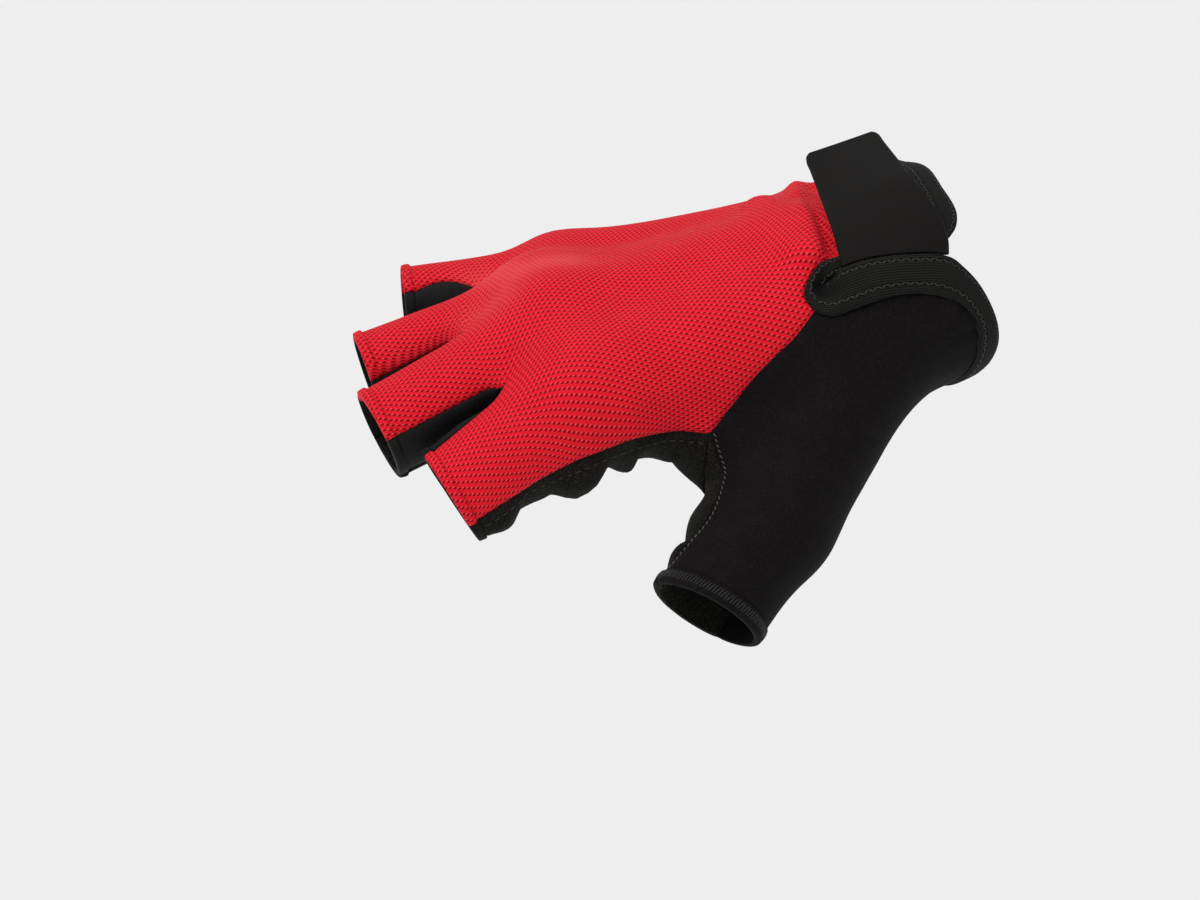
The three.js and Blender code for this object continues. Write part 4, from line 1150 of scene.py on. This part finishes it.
# Lines across it, from one side x, y, z to the other x, y, z, and then its free run.
strap_rows = np.array([
    (-0.242, -0.243, 0.42, -0.066, -0.32, 0.48),
    (-0.235, -0.185, 0.46, -0.065, -0.27, 0.54),
    (-0.228, -0.13, 0.48, -0.067, -0.21, 0.58),
    (-0.222, -0.08, 0.49, -0.069, -0.15, 0.6),
    (-0.215, -0.035, 0.49, -0.07, -0.1, 0.607),
])
free_run = np.array([0.034, 0.226, 0.018, 0.024, 0.3, -0.06])
free_rows = [(0.22, 0), (0.48, 0), (0.74, 0), (0.94, 0), (1, 0.05)]  # share of it, narrowing
strap_columns = np.linspace(0, 1, 7)


def lifted(p):
    """Points at the height of the strap's upper face."""
    face = settle(p, smooth_skin)
    return face + outward(face, smooth_skin) * (STRAP_LIFT + STRAP_WALL)


sewn_at = mix(2.75, 5.85, strap_columns)
edge = free_edge(sewn_at)
strap_top = [lifted(edge + unit(edge - cloth_edge(sewn_at)) * 0.48)]
for row in strap_rows:
    strap_top.append(lifted(mix(place(row[:3]), place(row[3:]), strap_columns[:, None])))
last = strap_top[-1]
for share, narrow in free_rows:
    across = mix(narrow, 1 - narrow, strap_columns)[:, None]
    start = mix(last[0], last[-1], across)
    bulge = last - mix(last[0], last[-1], strap_columns[:, None])
    run = mix(place(free_run[:3]), place(free_run[3:]), across)
    strap_top.append(start + bulge * (1 - share) + run * share)
strap_top = np.stack(strap_top)


def refine(grid, rows, columns):
    """A finer grid through a coarse one, by Catmull-Rom both ways."""
    down, along = np.linspace(0, len(grid) - 1, rows), np.linspace(0, grid.shape[1] - 1, columns)
    tall = np.stack([through(line)(down) for line in grid.swapaxes(0, 1)], 1)
    return np.stack([through(line)(along) for line in tall])


strap_grid = refine(strap_top, 91, 61)
strap_up = unit(np.cross(np.gradient(strap_grid, axis=1), np.gradient(strap_grid, axis=0)))
strap_up *= np.sign(strap_up[..., 2].sum())
across, from_end = walked(strap_grid, 1), walked(strap_grid[::-1])[::-1]
gap = np.minimum(np.minimum(across, across[:, -1:] - across), from_end)
round_off = 0.45 * np.clip(1 - gap / 0.7, 0, 1)**2
strap = grid_sheet("strap_laminate", strap_grid, strap_up, -round_off, STRAP_WALL - round_off)
strap.data.materials.append(nap_material(
    "strap_laminate", rgba(0.0048, 0.0040, 0.0036), rgba(0.0095, 0.0082, 0.0074), 0.45, 0.0003, 0.7, 0.01))
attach(strap, "root")
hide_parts("wrist_strap")


# -------- closure patch
# Loop-pile patch sewn flat on the back under the strap.
patch_rows = [(-0.185, -0.095, -0.09), (-0.183, -0.095, -0.03),
              (-0.18, -0.095, 0.03), (-0.176, -0.095, 0.09)]  # x from, x to, y
patch_grid = np.stack([mix(place((low, y, 0.45)), place((high, y, 0.45)), np.linspace(0, 1, 25)[:, None])
                       for low, high, y in patch_rows])
patch_grid = settle(refine(patch_grid, 31, 25))
pile = np.random.default_rng(12).uniform(-0.12, 0.12, patch_grid.shape[:2])
patch = grid_sheet("patch_pile", patch_grid, outward(patch_grid), 1.0 + pile, -0.3,
                   (patch_grid[..., 0], patch_grid[..., 1]))
patch.data.materials.append(nap_material(
    "loop_pile", rgba(0.002, 0.002, 0.002), rgba(0.010, 0.010, 0.010), 1.2, 0.0004, 1.0, 0.05))
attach(patch, "root")
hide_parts("closure_patch")


# -------- studio
# Pale floor well below the worn glove, a soft light from above, one from the
# thumb's side, and an even sky.
FLOOR, FLOOR_REACH = -1400.0, 9000.0  # mm
floor = new_piece("floor", np.array([
    (x * FLOOR_REACH, y * FLOOR_REACH, FLOOR) for x, y in ((-1, -1), (1, -1), (1, 1), (-1, 1))
]), [(0, 1, 2, 3)])
floor_look, _, floor_shader = cloth_material("floor", 0.9, 0.0, rgba(1, 1, 1), 0.5, 0.5)
floor_shader.inputs["Base Color"].default_value = rgba(0.785, 0.785, 0.785)
floor.data.materials.append(floor_look)


def soft_sun(name, from_side, spread, strength):
    """A distant soft light that shines from one side toward the glove."""
    data = bpy.data.lights.new(name, "SUN")
    data.angle = math.radians(spread)
    data.energy = strength
    light = bpy.data.objects.new(name, data)
    light.rotation_euler = Vector(from_side).to_track_quat("Z", "Y").to_euler()
    bpy.context.scene.collection.objects.link(light)


soft_sun("key", (-0.35, 0.25, 1.0), 50, 1.48)
soft_sun("side", (-0.2, -1.0, 0.55), 70, 0.35)
world = bpy.data.worlds.new("studio")
world.use_nodes = True
sky = world.node_tree.nodes["Background"].inputs
sky["Color"].default_value = rgba(1, 1, 1)
sky["Strength"].default_value = 0.6
bpy.context.scene.world = world
bpy.context.scene.view_settings.view_transform = "Standard"

# Camera at the photograph's angle: azimuth -22, elevation 35 degrees.
azimuth, elevation = math.radians(-22), math.radians(35)
right = Vector((math.cos(azimuth), math.sin(azimuth), 0))
toward = Vector((math.sin(azimuth) * math.cos(elevation), -math.cos(azimuth) * math.cos(elevation),
                 math.sin(elevation)))
above = toward.cross(right)
DISTANCE, SCALE = 0.95, 4400.0  # metres, and pixels per metre at the origin
eye = toward * DISTANCE - right * (326 / SCALE) - above * (187 / SCALE)
camera_data = bpy.data.cameras.new("camera")
camera_data.sensor_width = 36
camera_data.lens = 36 * SCALE * DISTANCE / 1200
camera_data.clip_end = 30
camera = bpy.data.objects.new("camera", camera_data)
camera.matrix_world = Matrix((
    (right.x, above.x, toward.x, eye.x), (right.y, above.y, toward.y, eye.y),
    (right.z, above.z, toward.z, eye.z), (0, 0, 0, 1),
))
bpy.context.scene.collection.objects.link(camera)
bpy.context.scene.camera = camera
